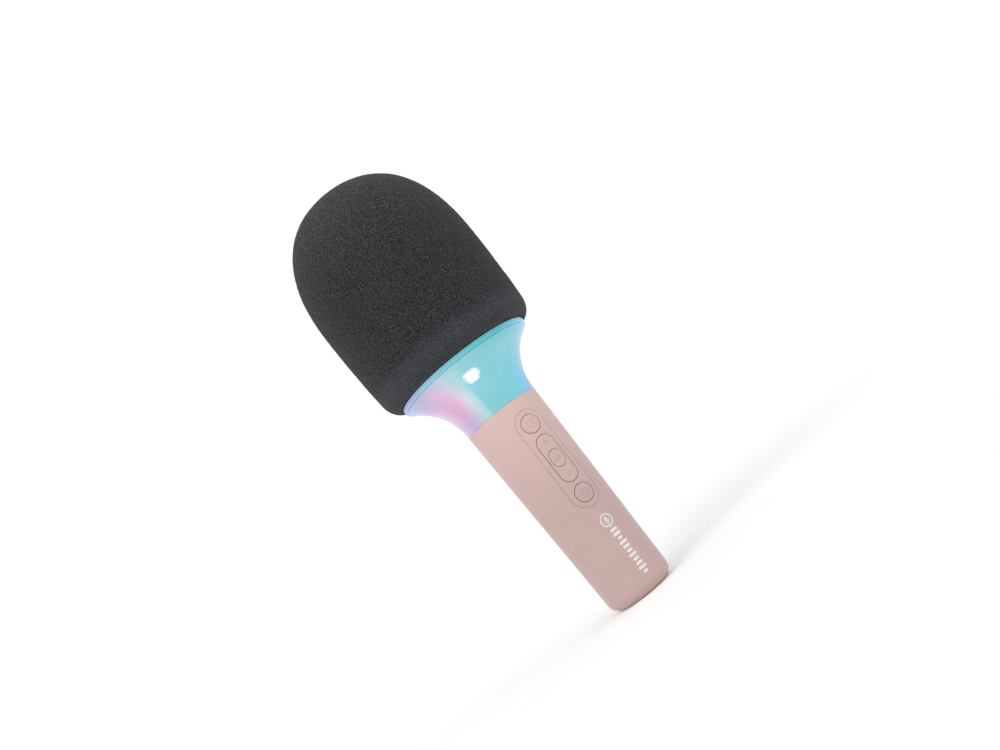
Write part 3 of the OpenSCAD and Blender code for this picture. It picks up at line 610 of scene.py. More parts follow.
def painted_highlight_mask(tree, place, angle, z):
    """1 inside the painted highlight's white spot, with an uneven soft edge."""
    reach = FLARE_X - math.sqrt(FLARE_R ** 2 - (PAINTED_HIGHLIGHT_Z - HANDLE_H) ** 2)
    across = calc(tree, "MULTIPLY_ADD", angle, reach / PAINTED_HIGHLIGHT_HALF_W,
                  -math.radians(PAINTED_HIGHLIGHT_ANGLE) * reach / PAINTED_HIGHLIGHT_HALF_W)
    along = calc(tree, "MULTIPLY_ADD", z, 1 / (PAINTED_HIGHLIGHT_HALF_H * MM), -PAINTED_HIGHLIGHT_Z / PAINTED_HIGHLIGHT_HALF_H)
    out = calc(tree, "ADD", calc(tree, "MULTIPLY", across, across),
               calc(tree, "MULTIPLY", along, along))
    uneven = between(tree, grain(tree, place, 2.4, 3, 0.7), -0.32, 0.32)
    return between(tree, calc(tree, "ADD", out, uneven), 0.94, 0, 0.6, 1.35)


def light_material(name, rings):
    """Milky plastic lit from inside: its colour turns with the angle round the axis and fades
    with height through the rings of colours, under a glossy skin. The rings also carry a
    painted reflection, the seam is painted brighter, and a white spot is a painted highlight."""
    material, tree, shader, place = start_material(name)
    x, y, z = add(tree, "ShaderNodeSeparateXYZ", {"Vector": place}).outputs
    angle = calc(tree, "ARCTAN2", x, calc(tree, "MULTIPLY", y, -1.0))
    wander = between(tree, grain(tree, place, 16, 2), -0.004, 0.004)
    share = calc(tree, "ADD", calc(tree, "MULTIPLY_ADD", angle, 0.5 / math.pi, 0.5), wander)
    bands = [ramp(tree, share, [((turn + 180) / 360, rgb(*tone))
                                for turn, *tone in [(-180, *ring[-1][1:])] + ring], "LINEAR")
             for ring in rings]
    colour = bands[0]
    for band, low, high in zip(bands[1:], (LOW_Z, MID_Z, HIGH_Z), (MID_Z, HIGH_Z, TOP_Z)):
        colour = mixed(tree, by_height(tree, z, 0, 1, low, high), colour, band)
    colour = add(tree, "ShaderNodeGamma", {"Color": colour, "Gamma": DEEPEN}).outputs[0]
    milk = between(tree, grain(tree, place, 3, 3), 0, 0.04)
    colour = mixed(tree, milk, colour, (1, 1, 1, 1))
    # painted light: the seam is made brighter than its shade
    off_seam = calc(tree, "ABSOLUTE", calc(tree, "SUBTRACT", z, SEAM_Z * MM))
    seam = between(tree, off_seam, SEAM_PAINTED_LIGHT, 1, 0.16 * MM, 0.3 * MM)
    colour = mixed(tree, 1.0, colour, seam, "MULTIPLY")
    # painted highlight: a white spot standing for a studio lamp's reflection
    colour = mixed(tree, painted_highlight_mask(tree, place, angle, z), colour, (1, 1, 1, 1))
    feed(tree, shader, {"Base Color": mixed(tree, 1.0, colour, (MILK_TONE,) * 3 + (1,), "MULTIPLY"),
                        "Emission Color": colour, "Emission Strength": SHARE_OF_GLOW,
                        "Roughness": between(tree, grain(tree, place, 9, 3), 0.2, 0.3),
                        "Specular IOR Level": 0.12, "Coat Weight": 0.14, "Coat Roughness": 0.06})
    bumped(tree, shader, grain(tree, place, 4, 2), 0.006)
    return material


def board_material(name, mask, trace, pad_mm):
    """Circuit board: lacquer over raised traces that run in steps, with bare pads."""
    material, tree, shader, place = start_material(name)
    lines = add(tree, "ShaderNodeTexBrick",
                {"Vector": place, "Scale": 1 / (pad_mm * MM),
                 "Mortar Size": 0.09, "Mortar Smooth": 0.2}).outputs["Fac"]
    weave = grain(tree, place, 0.6, 2)
    colour = mixed(tree, between(tree, weave, 0, 0.4), mask, shade(mask, 0.7))
    colour = mixed(tree, calc(tree, "MULTIPLY", lines, 0.7), colour, trace)
    feed(tree, shader, {"Base Color": colour, "Roughness": between(tree, weave, 0.25, 0.4)})
    bumped(tree, shader, lines, 0.03)
    return material


def threads(tree, place, pitch_mm, distortion, way):
    """Waves along an axis, one for each turn of wire or thread of cloth, from 0 to 1."""
    waves_per_unit = 3.18       # how many the wave texture draws at scale 1
    return add(tree, "ShaderNodeTexWave",
               {"Vector": place, "Scale": 1 / (pitch_mm * MM) / waves_per_unit,
                "Distortion": distortion, "Detail": 2.0},
               wave_type="BANDS", bands_direction=way).outputs["Fac"]


def wire_material(name, colour, pitch_mm):
    """Turns of enamelled wire, stacked along Z."""
    material, tree, shader, place = start_material(name)
    turns = threads(tree, place, pitch_mm, 0.3, "Z")
    fuzz = grain(tree, place, 0.4, 3)
    colours = mixed(tree, turns, shade(colour, 0.45), colour)
    colours = mixed(tree, between(tree, fuzz, 0, 0.3), colours, shade(colour, 0.7))
    feed(tree, shader, {"Base Color": colours, "Roughness": between(tree, fuzz, 0.24, 0.4),
                        "Metallic": 1.0})
    bumped(tree, shader, turns, 0.05)
    return material


def woven_material(name, colour, pitch_mm):
    """Cloth with threads both ways, such as a speaker's spider or treated paper."""
    material, tree, shader, place = start_material(name)
    weave = calc(tree, "MAXIMUM", *[threads(tree, place, pitch_mm, 0.8, way) for way in ("X", "Y")])
    fibres = grain(tree, place, 0.9, 5, 0.7)
    colours = mixed(tree, weave, shade(colour, 0.5), colour)
    colours = mixed(tree, between(tree, fibres, 0, 0.6), colours, shade(colour, 1.35))
    feed(tree, shader, {"Base Color": colours, "Roughness": 0.85, "Sheen Weight": 0.1})
    bumped(tree, shader, calc(tree, "ADD", weave, fibres), 0.06)
    return material


def sleeve_material():
    """Shrink sleeve of the cell: glossy blue film with a pale band and shrink wrinkles."""
    material, tree, shader, place = start_material("cell_sleeve")
    low, high = box_mm("battery_cell")
    share = by_height(tree, height_of(tree, place), 0, 1, low.z, high.z)
    film = rgb(62, 120, 176)
    colour = ramp(tree, share, [(0, film), (0.70, rgb(232, 232, 226)), (0.76, film),
                                (0.965, rgb(200, 202, 204))], "CONSTANT")
    colour = mixed(tree, between(tree, grain(tree, place, 8, 3), 0, 0.25), colour, shade(film, 0.6))
    feed(tree, shader, {"Base Color": colour, "Coat Weight": 0.4,
                        "Roughness": between(tree, grain(tree, place, 5, 3), 0.22, 0.34)})
    bumped(tree, shader, grain(tree, place, 2.2, 2), 0.03)
    return material


def lens_material():
    """The lights' lenses: clear yellowish resin with a warm glow."""
    material, tree, shader, place = start_material("led_lens")
    swirl = grain(tree, place, 1.2, 2)
    colour = mixed(tree, between(tree, swirl, 0, 1), rgb(250, 244, 214), rgb(255, 232, 150))
    feed(tree, shader, {"Base Color": colour, "Emission Color": colour, "Emission Strength": 1.5,
                        "Roughness": between(tree, swirl, 0.1, 0.2)})
    bumped(tree, shader, swirl, 0.03)
    return material


PINK = rgb(188, 160, 156)
PAINTED_CUP_GLOW = (50, HANDLE_H, 0.27)     # painted light from the cup's glow: the handle is paler from one height up to another, by a share
PLASTICS = {        # colour, roughness, grain size and depth in millimetres, mottle, sheen
    "cage_plastic": (rgb(52, 54, 58), 0.5, 0.5, 0.02),
    "white_plastic": (rgb(228, 228, 222), 0.45, 0.5, 0.015),
    "black_plastic": (rgb(34, 34, 36), 0.42, 0.4, 0.015),
    "black_rubber": (rgb(30, 30, 31), 0.8, 0.6, 0.03, 0.12, 0.2),
    "ferrite": (rgb(62, 62, 66), 0.6, 0.25, 0.03, 0.15),
    "red_lead": (rgb(186, 40, 36), 0.4, 0.5, 0.01, 0.08),
    "black_lead": (rgb(30, 30, 32), 0.4, 0.5, 0.01, 0.08),
    "white_lead": (rgb(222, 222, 216), 0.42, 0.5, 0.01, 0.08),
}
materials = {
    "windscreen_foam": foam_material(),
    "light_cup": light_material("light_cup", [GLOW_AND_REFLECTION_LOW, GLOW_AND_REFLECTION_MID, GLOW_AND_REFLECTION_HIGH, GLOW_AND_REFLECTION_TOP]),
    "handle_shell": plastic("handle_soft_touch", PINK, 0.44, 0.4, 0.014, 0.03, 0.1, PAINTED_CUP_GLOW),
    "key_plastic": plastic("key_soft_touch", PINK, 0.44, 0.4, 0.012, 0.03, 0.1, PAINTED_CUP_GLOW),
    "screw_steel": metal("screw_steel", rgb(196, 198, 202), 0.28),
    "bright_metal": metal("bright_metal", rgb(206, 208, 212), 0.22, (1, 1, 1), 0.4),
    "speaker_steel": metal("speaker_steel", rgb(120, 122, 126), 0.42, (4, 4, 1), 0.5),
    "speaker_paper": woven_material("speaker_paper", rgb(58, 58, 60), 0.7),
    "spider_cloth": woven_material("spider_cloth", rgb(204, 158, 98), 0.5),
    "copper_wire": wire_material("copper_wire", rgb(206, 122, 72), 0.2),
    "green_board": board_material("green_board", rgb(24, 96, 62), rgb(58, 146, 96), 1.6),
    "white_board": board_material("white_board", rgb(226, 228, 222), rgb(196, 188, 150), 1.9),
    "led_lens": lens_material(),
    "cell_sleeve": sleeve_material(),
    **{name: plastic(name, *values) for name, values in PLASTICS.items()},
}
rim_light = light_material("rim_light", [GLOW_RIM])
print_white = plastic("print_white", rgb(226, 220, 218), 0.5, 0.3, 0.008, 0.03)


# ---- camera, floor and lights ----

CAMERA_TURN = math.radians(23)      # to the left of the key panel's middle
CAMERA_AWAY, CAMERA_Z = 450, 56
CAMERA_FROM = Vector((-CAMERA_AWAY * math.sin(CAMERA_TURN), -CAMERA_AWAY * math.cos(CAMERA_TURN),
                      CAMERA_Z)) * MM
CAMERA_AT = Vector((0, 0, 120)) * MM
CAMERA_ROLL = math.radians(-38.6)
CAMERA_SHIFT = (0.0201, 0.0113)
FOCAL_MM = 34.96
SENSOR_MM = 36
FLOOR_R = 4000
SKY_LIGHT, SKY_SEEN = 0.8, 1.02     # how strongly the sky lights the scene, and how it looks


def face_microphone(ob, location, roll=0.0):
    """Puts a camera or a light somewhere, facing the middle of the microphone."""
    ob.location = location
    ob.rotation_mode = "QUATERNION"
    ob.rotation_quaternion = ((CAMERA_AT - location).to_track_quat("-Z", "Y")
                              @ Quaternion((0, 0, 1), roll))


def make_camera():
    data = bpy.data.cameras.new("camera")
    data.sensor_width = SENSOR_MM
    data.lens = FOCAL_MM
    data.shift_x, data.shift_y = CAMERA_SHIFT
    data.clip_start, data.clip_end = 0.01, 20
    camera = put("camera", data)
    face_microphone(camera, CAMERA_FROM, CAMERA_ROLL)
    bpy.context.scene.camera = camera


def make_floor():
    verts, faces = turned([(0, 0), (FLOOR_R / 8, 0), (FLOOR_R, 0)], 96)
    mesh = bpy.data.meshes.new("floor")
    mesh.from_pydata([tuple(c * MM for c in v) for v in verts], [], [f[::-1] for f in faces])
    material, tree, shader, place = start_material("floor_paper")
    tone = between(tree, grain(tree, place, 60, 3), 0, 1)
    paper = mixed(tree, tone, (0.93, 0.93, 0.93, 1), (0.95, 0.95, 0.95, 1))
    feed(tree, shader, {"Base Color": paper, "Roughness": 0.9, "Specular IOR Level": 0.1,
                        "Emission Color": (1, 1, 1, 1), "Emission Strength": 0.07})
    mesh.materials.append(material)
    put("floor", mesh)


def make_sun(name, toward, strength, spread):
    """A soft sun in some direction from the microphone. spread is its width in degrees."""
    data = bpy.data.lights.new(name, "SUN")
    data.energy = strength
    data.angle = math.radians(spread)
    face_microphone(put(name, data), CAMERA_AT + Vector(toward).normalized())


def make_world():
    world = bpy.data.worlds.new("studio")
    bpy.context.scene.world = world
    world.use_nodes = True
    tree = world.node_tree
    tree.nodes.clear()
    seen = add(tree, "ShaderNodeLightPath").outputs["Is Camera Ray"]
    power = calc(tree, "MULTIPLY_ADD", seen, SKY_SEEN - SKY_LIGHT, SKY_LIGHT)
    sky = add(tree, "ShaderNodeBackground", {"Color": (1, 1, 1, 1), "Strength": power})
    add(tree, "ShaderNodeOutputWorld", {"Surface": sky.outputs["Background"]})


make_camera()
make_floor()
make_world()
bpy.context.scene.view_settings.view_transform = "Standard"
make_sun("key", (-0.75, -0.5, 0.75), 0.9, 40)
make_sun("fill", (0.6, -0.8, 0.5), 0.35, 60)


# ---- foam windscreen ----

FOAM_STEP, BORE_STEP, FOOT_STEP = 0.6, 3.2, 0.7     # between rings: outside, bore and bottom
FOOT_FACET = 1.0            # longest facet round the rings of the bottom
FOAM_SEGMENTS = 448
BORE_EASE = 0.4             # keeps the coarser facets of the bore clear of the cage
MOUTH_EDGE = 0.8            # rounding of the bore's mouth
MOST_PROUD = 0.1            # of the crumbs, past the CAD solid


def foam_profile():
    """From the top of the bore down its wall, out along the bottom, and up the outside."""
    bore = arc((0, CAGE_DOME_Z), FOAM_BORE_R + BORE_EASE, 90, 0, 24)
    foot = [(FOAM_BORE_R, FOAM_LOW.z + MOUTH_EDGE),
            (FOAM_BORE_R + 0.25 * MOUTH_EDGE, FOAM_LOW.z + 0.25 * MOUTH_EDGE),
            (FOAM_BORE_R + MOUTH_EDGE, FOAM_LOW.z)]
    turn_w = FOAM_LOW_R - FOAM_FOOT_R
    turn = [(FOAM_FOOT_R + turn_w * math.sin(a), FOAM_LOW.z + FOAM_TURN_H * (1 - math.cos(a)))
            for a in [math.pi / 2 * k / 24 for k in range(25)]]
    side_h = FOAM_WIDE_Z - FOAM_LOW.z - FOAM_TURN_H
    side = [(FOAM_HIGH.x - (FOAM_HIGH.x - FOAM_LOW_R) * t * t, FOAM_WIDE_Z - side_h * t)
            for t in [1 - k / 24 for k in range(1, 25)]]
    dome_h = FOAM_HIGH.z - FOAM_WIDE_Z
    dome = [(FOAM_HIGH.x * math.cos(a) ** (2 / FOAM_POWER),
             FOAM_WIDE_Z + dome_h * math.sin(a) ** (2 / FOAM_POWER))
            for a in [math.pi / 2 * k / 160 for k in range(1, 160)]] + [(0, FOAM_HIGH.z)]
    inner = resample(bore + [(FOAM_BORE_R, FOAM_LOW.z + 6)], BORE_STEP)
    return inner, resample(foot + turn[:1], FOOT_STEP), resample(turn + side + dome, FOAM_STEP)


def halving_counts(profile, facets):
    """Segments for each ring, given its longest facet: they halve as the rings shrink, and
    never more than once from a ring to the next."""
    counts = []
    for (r, z), size in zip(profile, facets):
        count = FOAM_SEGMENTS
        while count > 14 and 2 * math.pi * r / count < size * 0.72:
            count //= 2
        counts.append(count)
    for order in (range(1, len(counts)), range(len(counts) - 2, -1, -1)):
        for i in order:
            other = counts[i - 1] if order.step > 0 else counts[i + 1]
            counts[i] = min(counts[i], 2 * other) if other > 1 else counts[i]
    return counts


def foam_height(p):
    """How far the foam's surface stands out at a point, in millimetres: crumbs, slow waves, and
    a fullness round the hem with a soft crease in it. Below the crease the crumbs are smoother."""
    crumb = 0.1 * noise.noise(p / 0.8) + 0.06 * noise.noise(p / 1.5 + Vector((7, 3, 5)))
    hem = min(1, max(0, (CREASE_Z - p.z) / 3))
    crease = 0.12 * math.exp(-((p.z - CREASE_Z) / 2) ** 2)
    full = 0.45 * math.exp(-((p.z - CREASE_Z) / 7) ** 2)
    wave = noise.fractal(p / 19, 0.8, 2.0, 2) * 0.14
    return min(crumb * (1 - 0.5 * hem) + wave + full - crease - 0.1, MOST_PROUD)


def make_foam():
    inner, foot, outer = foam_profile()
    foot = foot[1:-1]
    facets = [BORE_STEP] * len(inner) + [FOOT_FACET] * len(foot) + [FOAM_STEP] * len(outer)
    profile = inner + foot + outer
    verts, faces = turned(profile, halving_counts(profile, facets))
    smooth = bpy.data.meshes.new("smooth_foam")
    smooth.from_pydata(verts, [], faces)
    normals = np.zeros(len(verts) * 3)
    smooth.vertex_normals.foreach_get("vector", normals)
    bpy.data.meshes.remove(smooth)
    shell = Shell()
    places = [(Vector(v), Vector(n)) for v, n in zip(verts, normals.reshape(-1, 3))]
    shell.add([p + n * foam_height(p) for p, n in places], faces)
    foam = shell.piece("foam_head", "windscreen", "windscreen_foam", ["foam_windscreen"],
                       joined=True)


make_foam()


# ---- light-up cup and rim ----

def flare_points(depth, low, high, steps):
    """The flare's side, moved in by a depth, as (radius, height) from low to high."""
    r = FLARE_R + depth
    return [(FLARE_X - math.sqrt(r * r - (z - HANDLE_H) ** 2), z)
            for z in [low + (high - low) * k / steps for k in range(steps + 1)]]


COLLAR_R = 16.8
COLLAR_BORE_R = 15.4
COLLAR_STEP_Z = HANDLE_H + 1.2
COLLAR_FLOOR_T = 1.5
CABLE_HOLE_R = 5.4
CUP_EDGE, RIM_EDGE, RIM_BORE_EDGE = 0.25, 0.3, 0.2
LED_POST_R, LED_POST_RING_R = 1.6, 9
LED_POST_ANGLES = (30, 150, 270)
WEB_T, WEB_R = 1.0, 23.4    # the shelf inside the rim
CAGE_FIT = 0.1
TURNED_SEGMENTS = 256


def make_cup():
    shell = Shell()
    low, top, edge = CUP_LOW.z, CUP_HIGH.z, CUP_EDGE
    outer = flare_points(0, HANDLE_H + edge, top - edge, 72)
    inner = flare_points(CUP_WALL, COLLAR_STEP_Z, top - edge, 36)[::-1]
    crown = [(outer[-1][0] + 0.02, top - 0.4 * edge), (outer[-1][0] - edge, top),
             (inner[0][0] + edge, top)]
    collar = [(CABLE_HOLE_R, low), (COLLAR_R - edge, low), (COLLAR_R, low + edge),
              (COLLAR_R, HANDLE_H), (HANDLE_TOP_R - edge, HANDLE_H)]
    bore = [(COLLAR_BORE_R, COLLAR_STEP_Z), (COLLAR_BORE_R, low + COLLAR_FLOOR_T),
            (CABLE_HOLE_R, low + COLLAR_FLOOR_T)]
    shell.add(*turned(collar + outer + crown + inner + bore, TURNED_SEGMENTS, closed=True))
    post, faces = turned(rod(LED_POST_R, low + 1, box_mm("led_board")[0].z), 24)
    for turn in LED_POST_ANGLES:
        a = math.radians(turn)
        shell.add([(x + LED_POST_RING_R * math.cos(a), y + LED_POST_RING_R * math.sin(a), z)
                   for x, y, z in post], faces)
    shell.piece("light_cup", "housing", "light_cup", ["diffuser_cup"])


def make_rim():
    shell = Shell()
    low, high, bore_r = RIM_LOW.z, RIM_HIGH.z, CAGE_HIGH.x + CAGE_FIT
    outside = (arc((RIM_R - RIM_EDGE, low + RIM_EDGE), RIM_EDGE, -90, 0, 5)
               + arc((RIM_R - RIM_EDGE, high - RIM_EDGE), RIM_EDGE, 0, 90, 5))
    inside_wall = [(bore_r + RIM_BORE_EDGE, high), (bore_r, high - RIM_BORE_EDGE),
                   (bore_r, low + WEB_T), (WEB_R, low + WEB_T)]
    shell.add(*turned([(WEB_R, low)] + outside + inside_wall, TURNED_SEGMENTS, closed=True))
    shell.piece("rim", "housing", "light_cup", ["rim_ring"], rim_light)


make_cup()
make_rim()


# ---- handle ----

WINDOW_FIT = 0.08           # round the panel
WINDOW_EDGE = 0.16
WINDOW_COUNT = 240
COLUMNS = 192
PATCH_COLUMNS = 17          # columns of the grid each side of the front that the patch takes
PATCH_REACH = 3             # how far the patch reaches past the window's ends
ROW_H = 0.9
TOP_EDGE = 0.2
FLOOR_SLOPE = 3             # between the floor and the inner wall
USB_LOW, USB_HIGH = box_mm("usb_shell")
USB_FIT, USB_EDGE = 0.28, 0.25
BASE_STEP = 1.2             # between the points that fill the base


def ring_point(column, r, z):
    a = 2 * math.pi * column / COLUMNS
    return (r * math.sin(a), -r * math.cos(a), z)


def ring(r, z):
    return [ring_point(c, r, z) for c in range(COLUMNS)]


def window_loop(grow):
    return stadium(PANEL_W + 2 * WINDOW_FIT + 2 * grow, PANEL_H + 2 * WINDOW_FIT + 2 * grow,
                   0, PANEL_Z, WINDOW_COUNT)


def usb_loop(grow):
    w, h = USB_HIGH.x - USB_LOW.x, USB_HIGH.y - USB_LOW.y
    return stadium(w + 2 * grow, h + 2 * grow, 0, (USB_LOW.y + USB_HIGH.y) / 2, 64)


def wall_skin(shell, depth, low, high, grow, flip=False):
    """One skin of the handle: a grid of quads all round, and round the window a patch of
    triangles whose rim shares the grid's points."""
    rows = int(round((high - low) / ROW_H))
    heights = [low + (high - low) * k / rows for k in range(rows + 1)]
    reach = (PANEL_H + 2 * WINDOW_FIT) / 2 + PATCH_REACH
    patch_rows = [k for k, z in enumerate(heights) if abs(z - PANEL_Z) < reach]
    first, last = patch_rows[0], patch_rows[-1]
    faces = []
    for k in range(rows):
        for c in range(-COLUMNS // 2, COLUMNS // 2):
            if first <= k < last and -PATCH_COLUMNS <= c < PATCH_COLUMNS:
                continue
            a, b = k * COLUMNS + c % COLUMNS, k * COLUMNS + (c + 1) % COLUMNS
            faces.append((a, b, b + COLUMNS, a + COLUMNS))
    shell.add([p for z in heights for p in ring(handle_r(z) - depth, z)], faces, flip)
    columns = range(-PATCH_COLUMNS, PATCH_COLUMNS + 1)
    rim = ([(c, first) for c in columns] + [(PATCH_COLUMNS, k) for k in range(first + 1, last + 1)]
           + [(c, last) for c in reversed(columns[:-1])]
           + [(-PATCH_COLUMNS, k) for k in range(last - 1, first, -1)])
    border = [ring_point(c, handle_r(heights[k]) - depth, heights[k]) for c, k in rim]
    flat, patch = fill([[(x, z) for x, y, z in border], window_loop(grow)], ROW_H)
    shell.add([on_front(x, z, depth) for x, z in flat], patch, flip)


def handle_rim():
    """The rounded top of the handle's wall, from outside to inside, as (radius, height)."""
    low, out = HANDLE_H - TOP_EDGE, handle_r(HANDLE_H)
    return ([(handle_r(low), low)] + arc((out - TOP_EDGE, low), TOP_EDGE, 30, 90, 3)
            + [(out - HANDLE_WALL + TOP_EDGE, HANDLE_H), (handle_r(low) - HANDLE_WALL, low)])


def make_handle():
    shell = Shell()
    slope_z = FLOOR_T + FLOOR_SLOPE
    wall_skin(shell, 0, BASE_ROUND_R, HANDLE_H - TOP_EDGE, WINDOW_EDGE)
    wall_skin(shell, HANDLE_WALL, slope_z, HANDLE_H - TOP_EDGE, 0, flip=True)

    out = handle_r(BASE_ROUND_R)
    base = arc((out - BASE_ROUND_R, BASE_ROUND_R), BASE_ROUND_R, -90, 0, 16)
    base[-1] = (out, BASE_ROUND_R)
    shell.rings([ring(r, z) for r, z in base])
    shell.rings([ring(r, z) for r, z in handle_rim()])
    sides = edge_round(WINDOW_EDGE) + [(0, HANDLE_WALL)]
    shell.rings([[on_front(x, z, depth) for x, z in window_loop(grow)] for grow, depth in sides])

    floor_r = handle_r(FLOOR_T) - HANDLE_WALL - FLOOR_SLOPE
    for r, z, grow in ((base[0][0], 0, USB_FIT + USB_EDGE), (floor_r, FLOOR_T, USB_FIT)):
        flat, faces = fill([[(x, y) for x, y, level in ring(r, z)], usb_loop(grow)], BASE_STEP)
        shell.add([(x, y, z) for x, y in flat], faces, flip=(z == 0))
    walls = [(USB_FIT + grow, depth) for grow, depth in edge_round(USB_EDGE)] + [(USB_FIT, FLOOR_T)]
    shell.rings([[(x, y, depth) for x, y in usb_loop(grow)] for grow, depth in walls])
    shell.rings([ring(handle_r(slope_z) - HANDLE_WALL, slope_z), ring(floor_r, FLOOR_T)])
    shell.piece("handle", "housing", "handle_shell", ["handle_shell"])


PANEL_EDGE, PANEL_HOLE_EDGE = 0.12, 0.15
PANEL_FRONT, PANEL_BACK = 2.1, 3.0      # depths of the rear flange below the handle's surface
KEY_EDGE = 0.2
KEY_DEPTH = 3.6
KEY_CROWN = 0.12
PLAY_EDGE = 0.12
PLAY_PROUD = 0.12
PLAY_CROWN = -0.24          # a shallow dish inside its rim
PLAY_HOLE_EDGE, PLAY_HOLE_GAP_DEPTH = 0.06, 0.02
FLANGE_EDGE, FLANGE_FRONT, FLANGE_BACK = 0.1, 3.4, 4.1
KEY_POST_R, ROCKER_POST_R = 2.0, 1.5
ROCKER_T = 3.0
POST_ROOT = 0.2             # how far the rocker's posts reach into it
PIVOT_ROOT, PIVOT_EDGE = 0.3, 0.1
PLUNGER_TIP = -PLUNGER_TIP_Y


def make_panel():
    button = 2 * (BUTTON_R + KEY_GAP)
    holes = [(button, button, EFFECT_Z, PANEL_HOLE_EDGE),
             (ROCKER_W + 2 * KEY_GAP, ROCKER_H + 2 * KEY_GAP, PANEL_Z, PANEL_HOLE_EDGE),
             (button, button, POWER_Z, PANEL_HOLE_EDGE)]
    flange = [(0, PANEL_FRONT), (PANEL_FLANGE, PANEL_FRONT), (PANEL_FLANGE, PANEL_BACK)]
    panel = Front((PANEL_W, PANEL_H, PANEL_Z, PANEL_EDGE), holes).build(flange, 0.5, 1.0)
    panel.piece("panel", "housing", "key_plastic", ["button_panel"])


def make_key(name, body, node, width, height, z, proud, crown, edge):
    """A key with a rounded, slightly domed top, its flange and the post behind it."""
    key = Front((width, height, z, edge), (), proud, crown).build([(0, KEY_DEPTH)], 0.4, 0.8)
    flange = Front((width + 2 * KEY_FLANGE, height + 2 * KEY_FLANGE, z, FLANGE_EDGE), (),
                   -FLANGE_FRONT).build([(0, FLANGE_BACK)], 0.8, 0.8)
    key.add(flange.verts, flange.faces)
    along_y(key, rod(KEY_POST_R, PLUNGER_TIP, handle_r(z) - KEY_DEPTH), z)
    key.piece(name, body, "key_plastic", [node])


def make_rocker():
    hole = (PLAY_W + 2 * KEY_GAP, PLAY_H + 2 * KEY_GAP, PANEL_Z, PLAY_HOLE_EDGE)
    rocker = Front((ROCKER_W, ROCKER_H, PANEL_Z, KEY_EDGE), [hole], proud=KEY_PROUD)
    rocker.gap_depth = PLAY_HOLE_GAP_DEPTH
    shell = rocker.build([(0, ROCKER_T)], 0.45, 0.9)
    pin, faces = turned(rod(PIVOT_R, ROCKER_W / 2 - PIVOT_ROOT, ROCKER_W / 2 + PIVOT_LEN,
                            PIVOT_EDGE), 24)
    for side in (-1, 1):
        z = PANEL_Z + side * ROCKER_REACH
        root = handle_r(z) - (ROCKER_T - POST_ROOT)
        along_y(shell, rod(ROCKER_POST_R, PLUNGER_TIP, root), z)
        shell.add([(side * vz, PIVOT_Y + vy, PANEL_Z + side * vx) for vx, vy, vz in pin], faces)
    shell.piece("volume_key", "volume_key", "key_plastic", ["volume_rocker"])


make_handle()
make_panel()
for key_name, key_z in (("effect", EFFECT_Z), ("power", POWER_Z)):
    make_key(key_name + "_key", key_name + "_key", key_name + "_button", 2 * BUTTON_R, 2 * BUTTON_R,
             key_z, KEY_PROUD, KEY_CROWN, KEY_EDGE)
make_key("play_key", "play_key", "play_button", PLAY_W, PLAY_H, PANEL_Z,
         PLAY_PROUD, PLAY_CROWN, PLAY_EDGE)
make_rocker()


# ---- marks ----

SIGN_RAISED, SIGN_SUNK = 0.12, 0.12     # the signs on the keys
PRINT_RAISED, PRINT_SUNK = 0.03, 0.1


def make_mark(name, shapes, body, slot, raised, sunk, ground=None, material=None):
    """Thin raised shapes on the handle's front. Each is a list of loops: an outline and its
    holes. ground says how proud the surface under a point is."""
    shell = Shell()

    def height(x, z):
        return ground(x, z) if ground else 0.0

    for loops in shapes:
        flat, faces = fill(loops, 0.5)
        shell.add([on_front(x, z, -height(x, z) - raised) for x, z in flat], faces)
        shell.add([on_front(x, z, -height(x, z) + sunk) for x, z in flat], faces, flip=True)
        for loop in loops:
            shell.rings([[on_front(x, z, -height(x, z) + d) for x, z in loop]
                         for d in (-raised, sunk)])
    shell.piece(name, body, slot, material=material)


def key_sign(name, shapes, body, proud, width=1.0, height=1.0, middle=0.0, crown=0.0):
    """A sign on a key of this width and height, which is proud by an amount and then crowned."""
    def ground(x, z):
        along = max(0, abs(z - middle) - (height - width) / 2) / (width / 2)
        return proud + crown * max(0, 1 - (x / (width / 2)) ** 2 - along ** 2)
    make_mark(name, shapes, body, "key_plastic", SIGN_RAISED, SIGN_SUNK, ground)


def bar(x, z, w, h, count=24):
    return stadium(w, h, x, z, count)


def plus_loop(size, thick, x, z):
    s, t = size / 2, thick / 2
    corners = [(s, t), (t, t), (t, s), (-t, s), (-t, t), (-s, t),
               (-s, -t), (-t, -t), (-t, -s), (t, -s), (t, -t), (s, -t)]
    return [(x + a, z + b) for a, b in corners]


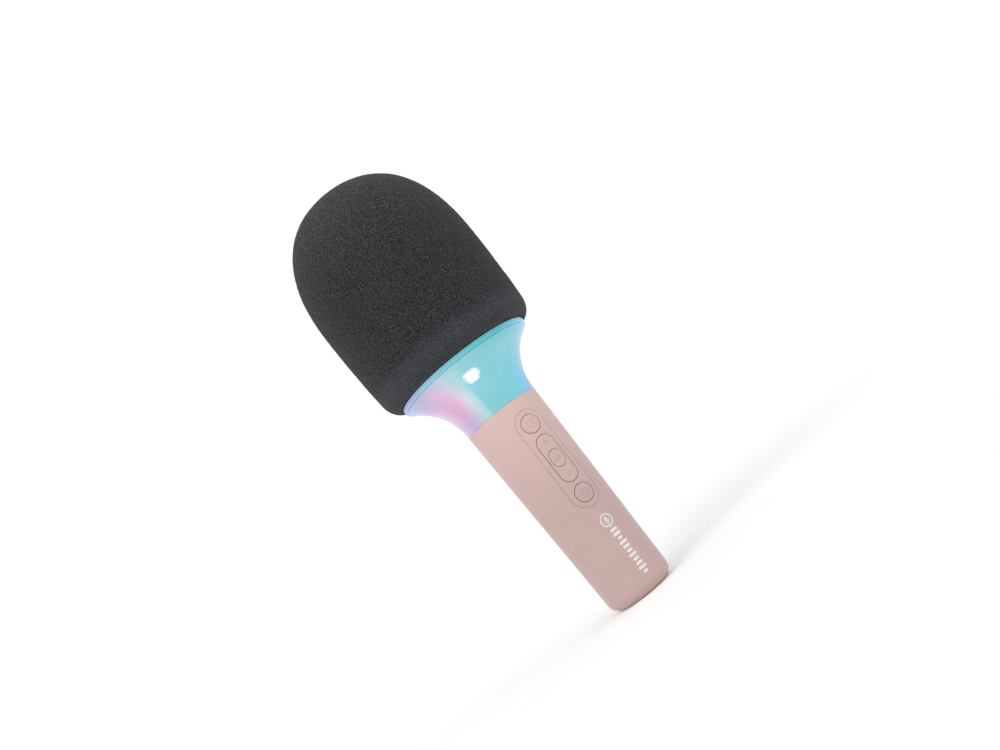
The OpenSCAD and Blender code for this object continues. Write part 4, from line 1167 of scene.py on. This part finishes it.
ROUND = (KEY_PROUD, 2 * BUTTON_R, 2 * BUTTON_R)
key_sign("effect_mark", [[sparkle(2.3, -0.4, EFFECT_Z - 0.3)],
                         [sparkle(1.0, 1.8, EFFECT_Z + 1.7, 32)]],
         "effect_key", *ROUND, EFFECT_Z, KEY_CROWN)
key_sign("power_mark", [[arc_band(1.65, 2.05, 125, 415, 0, POWER_Z - 0.1)],
                        [bar(0, POWER_Z + 1.4, 0.42, 2.1)]],
         "power_key", *ROUND, POWER_Z, KEY_CROWN)
key_sign("play_mark", [[[(-1.4, PANEL_Z - 1.2), (0.3, PANEL_Z), (-1.4, PANEL_Z + 1.2)]],
                       [bar(0.75, PANEL_Z, 0.4, 2.2)], [bar(1.45, PANEL_Z, 0.4, 2.2)]],
         "play_key", PLAY_PROUD, PLAY_W, PLAY_H, PANEL_Z, PLAY_CROWN)
key_sign("volume_marks", [[plus_loop(2.5, 0.45, 0, PANEL_Z + 8.6)],
                          [bar(0, PANEL_Z - 8.6, 2.5, 0.45)]], "volume_key", KEY_PROUD)

PRINT_TOP_Z = 32.3
PRINT_LOW_Z = 7.6
PRINT_BARS = 11
BADGE_Z = 36.2


def print_bars():
    """A row of rounded bars down the handle, like the levels of a sound."""
    step = (PRINT_TOP_Z - PRINT_LOW_Z) / PRINT_BARS
    shapes = []
    for k in range(PRINT_BARS):
        width = 2.2 + 2.2 * abs(math.sin(1.15 * k + 0.9))
        shapes.append([stadium(width, 1.4, 0, PRINT_TOP_Z - step * (k + 0.5), 40)])
    return shapes


def badge():
    """A ring round a small microphone sign."""
    return [[stadium(6.3, 6.3, 0, BADGE_Z, 64), stadium(5, 5, 0, BADGE_Z, 56)],
            [stadium(1.3, 2.2, 0, BADGE_Z + 0.5, 32)],
            [arc_band(1.05, 1.45, 180, 360, 0, BADGE_Z + 0.2)],
            [bar(0, BADGE_Z - 1.45, 0.4, 0.6)], [bar(0, BADGE_Z - 1.85, 1.5, 0.4)]]


make_mark("print", print_bars() + badge(), "housing", "white_plastic", PRINT_RAISED, PRINT_SUNK,
          material=print_white)


# ---- CAD nodes that stay ----

SLOT_OF = {part["node"]: part["material_slot"] for part in frame["record"]["subparts"]}


def dress_nodes():
    """Gives every CAD node its slot's material."""
    for name, node in frame["nodes"].items():
        material = materials[SLOT_OF[name]]
        for holder in node.material_slots:
            holder.material = material
        if not node.material_slots:
            node.data.materials.append(material)


dress_nodes()
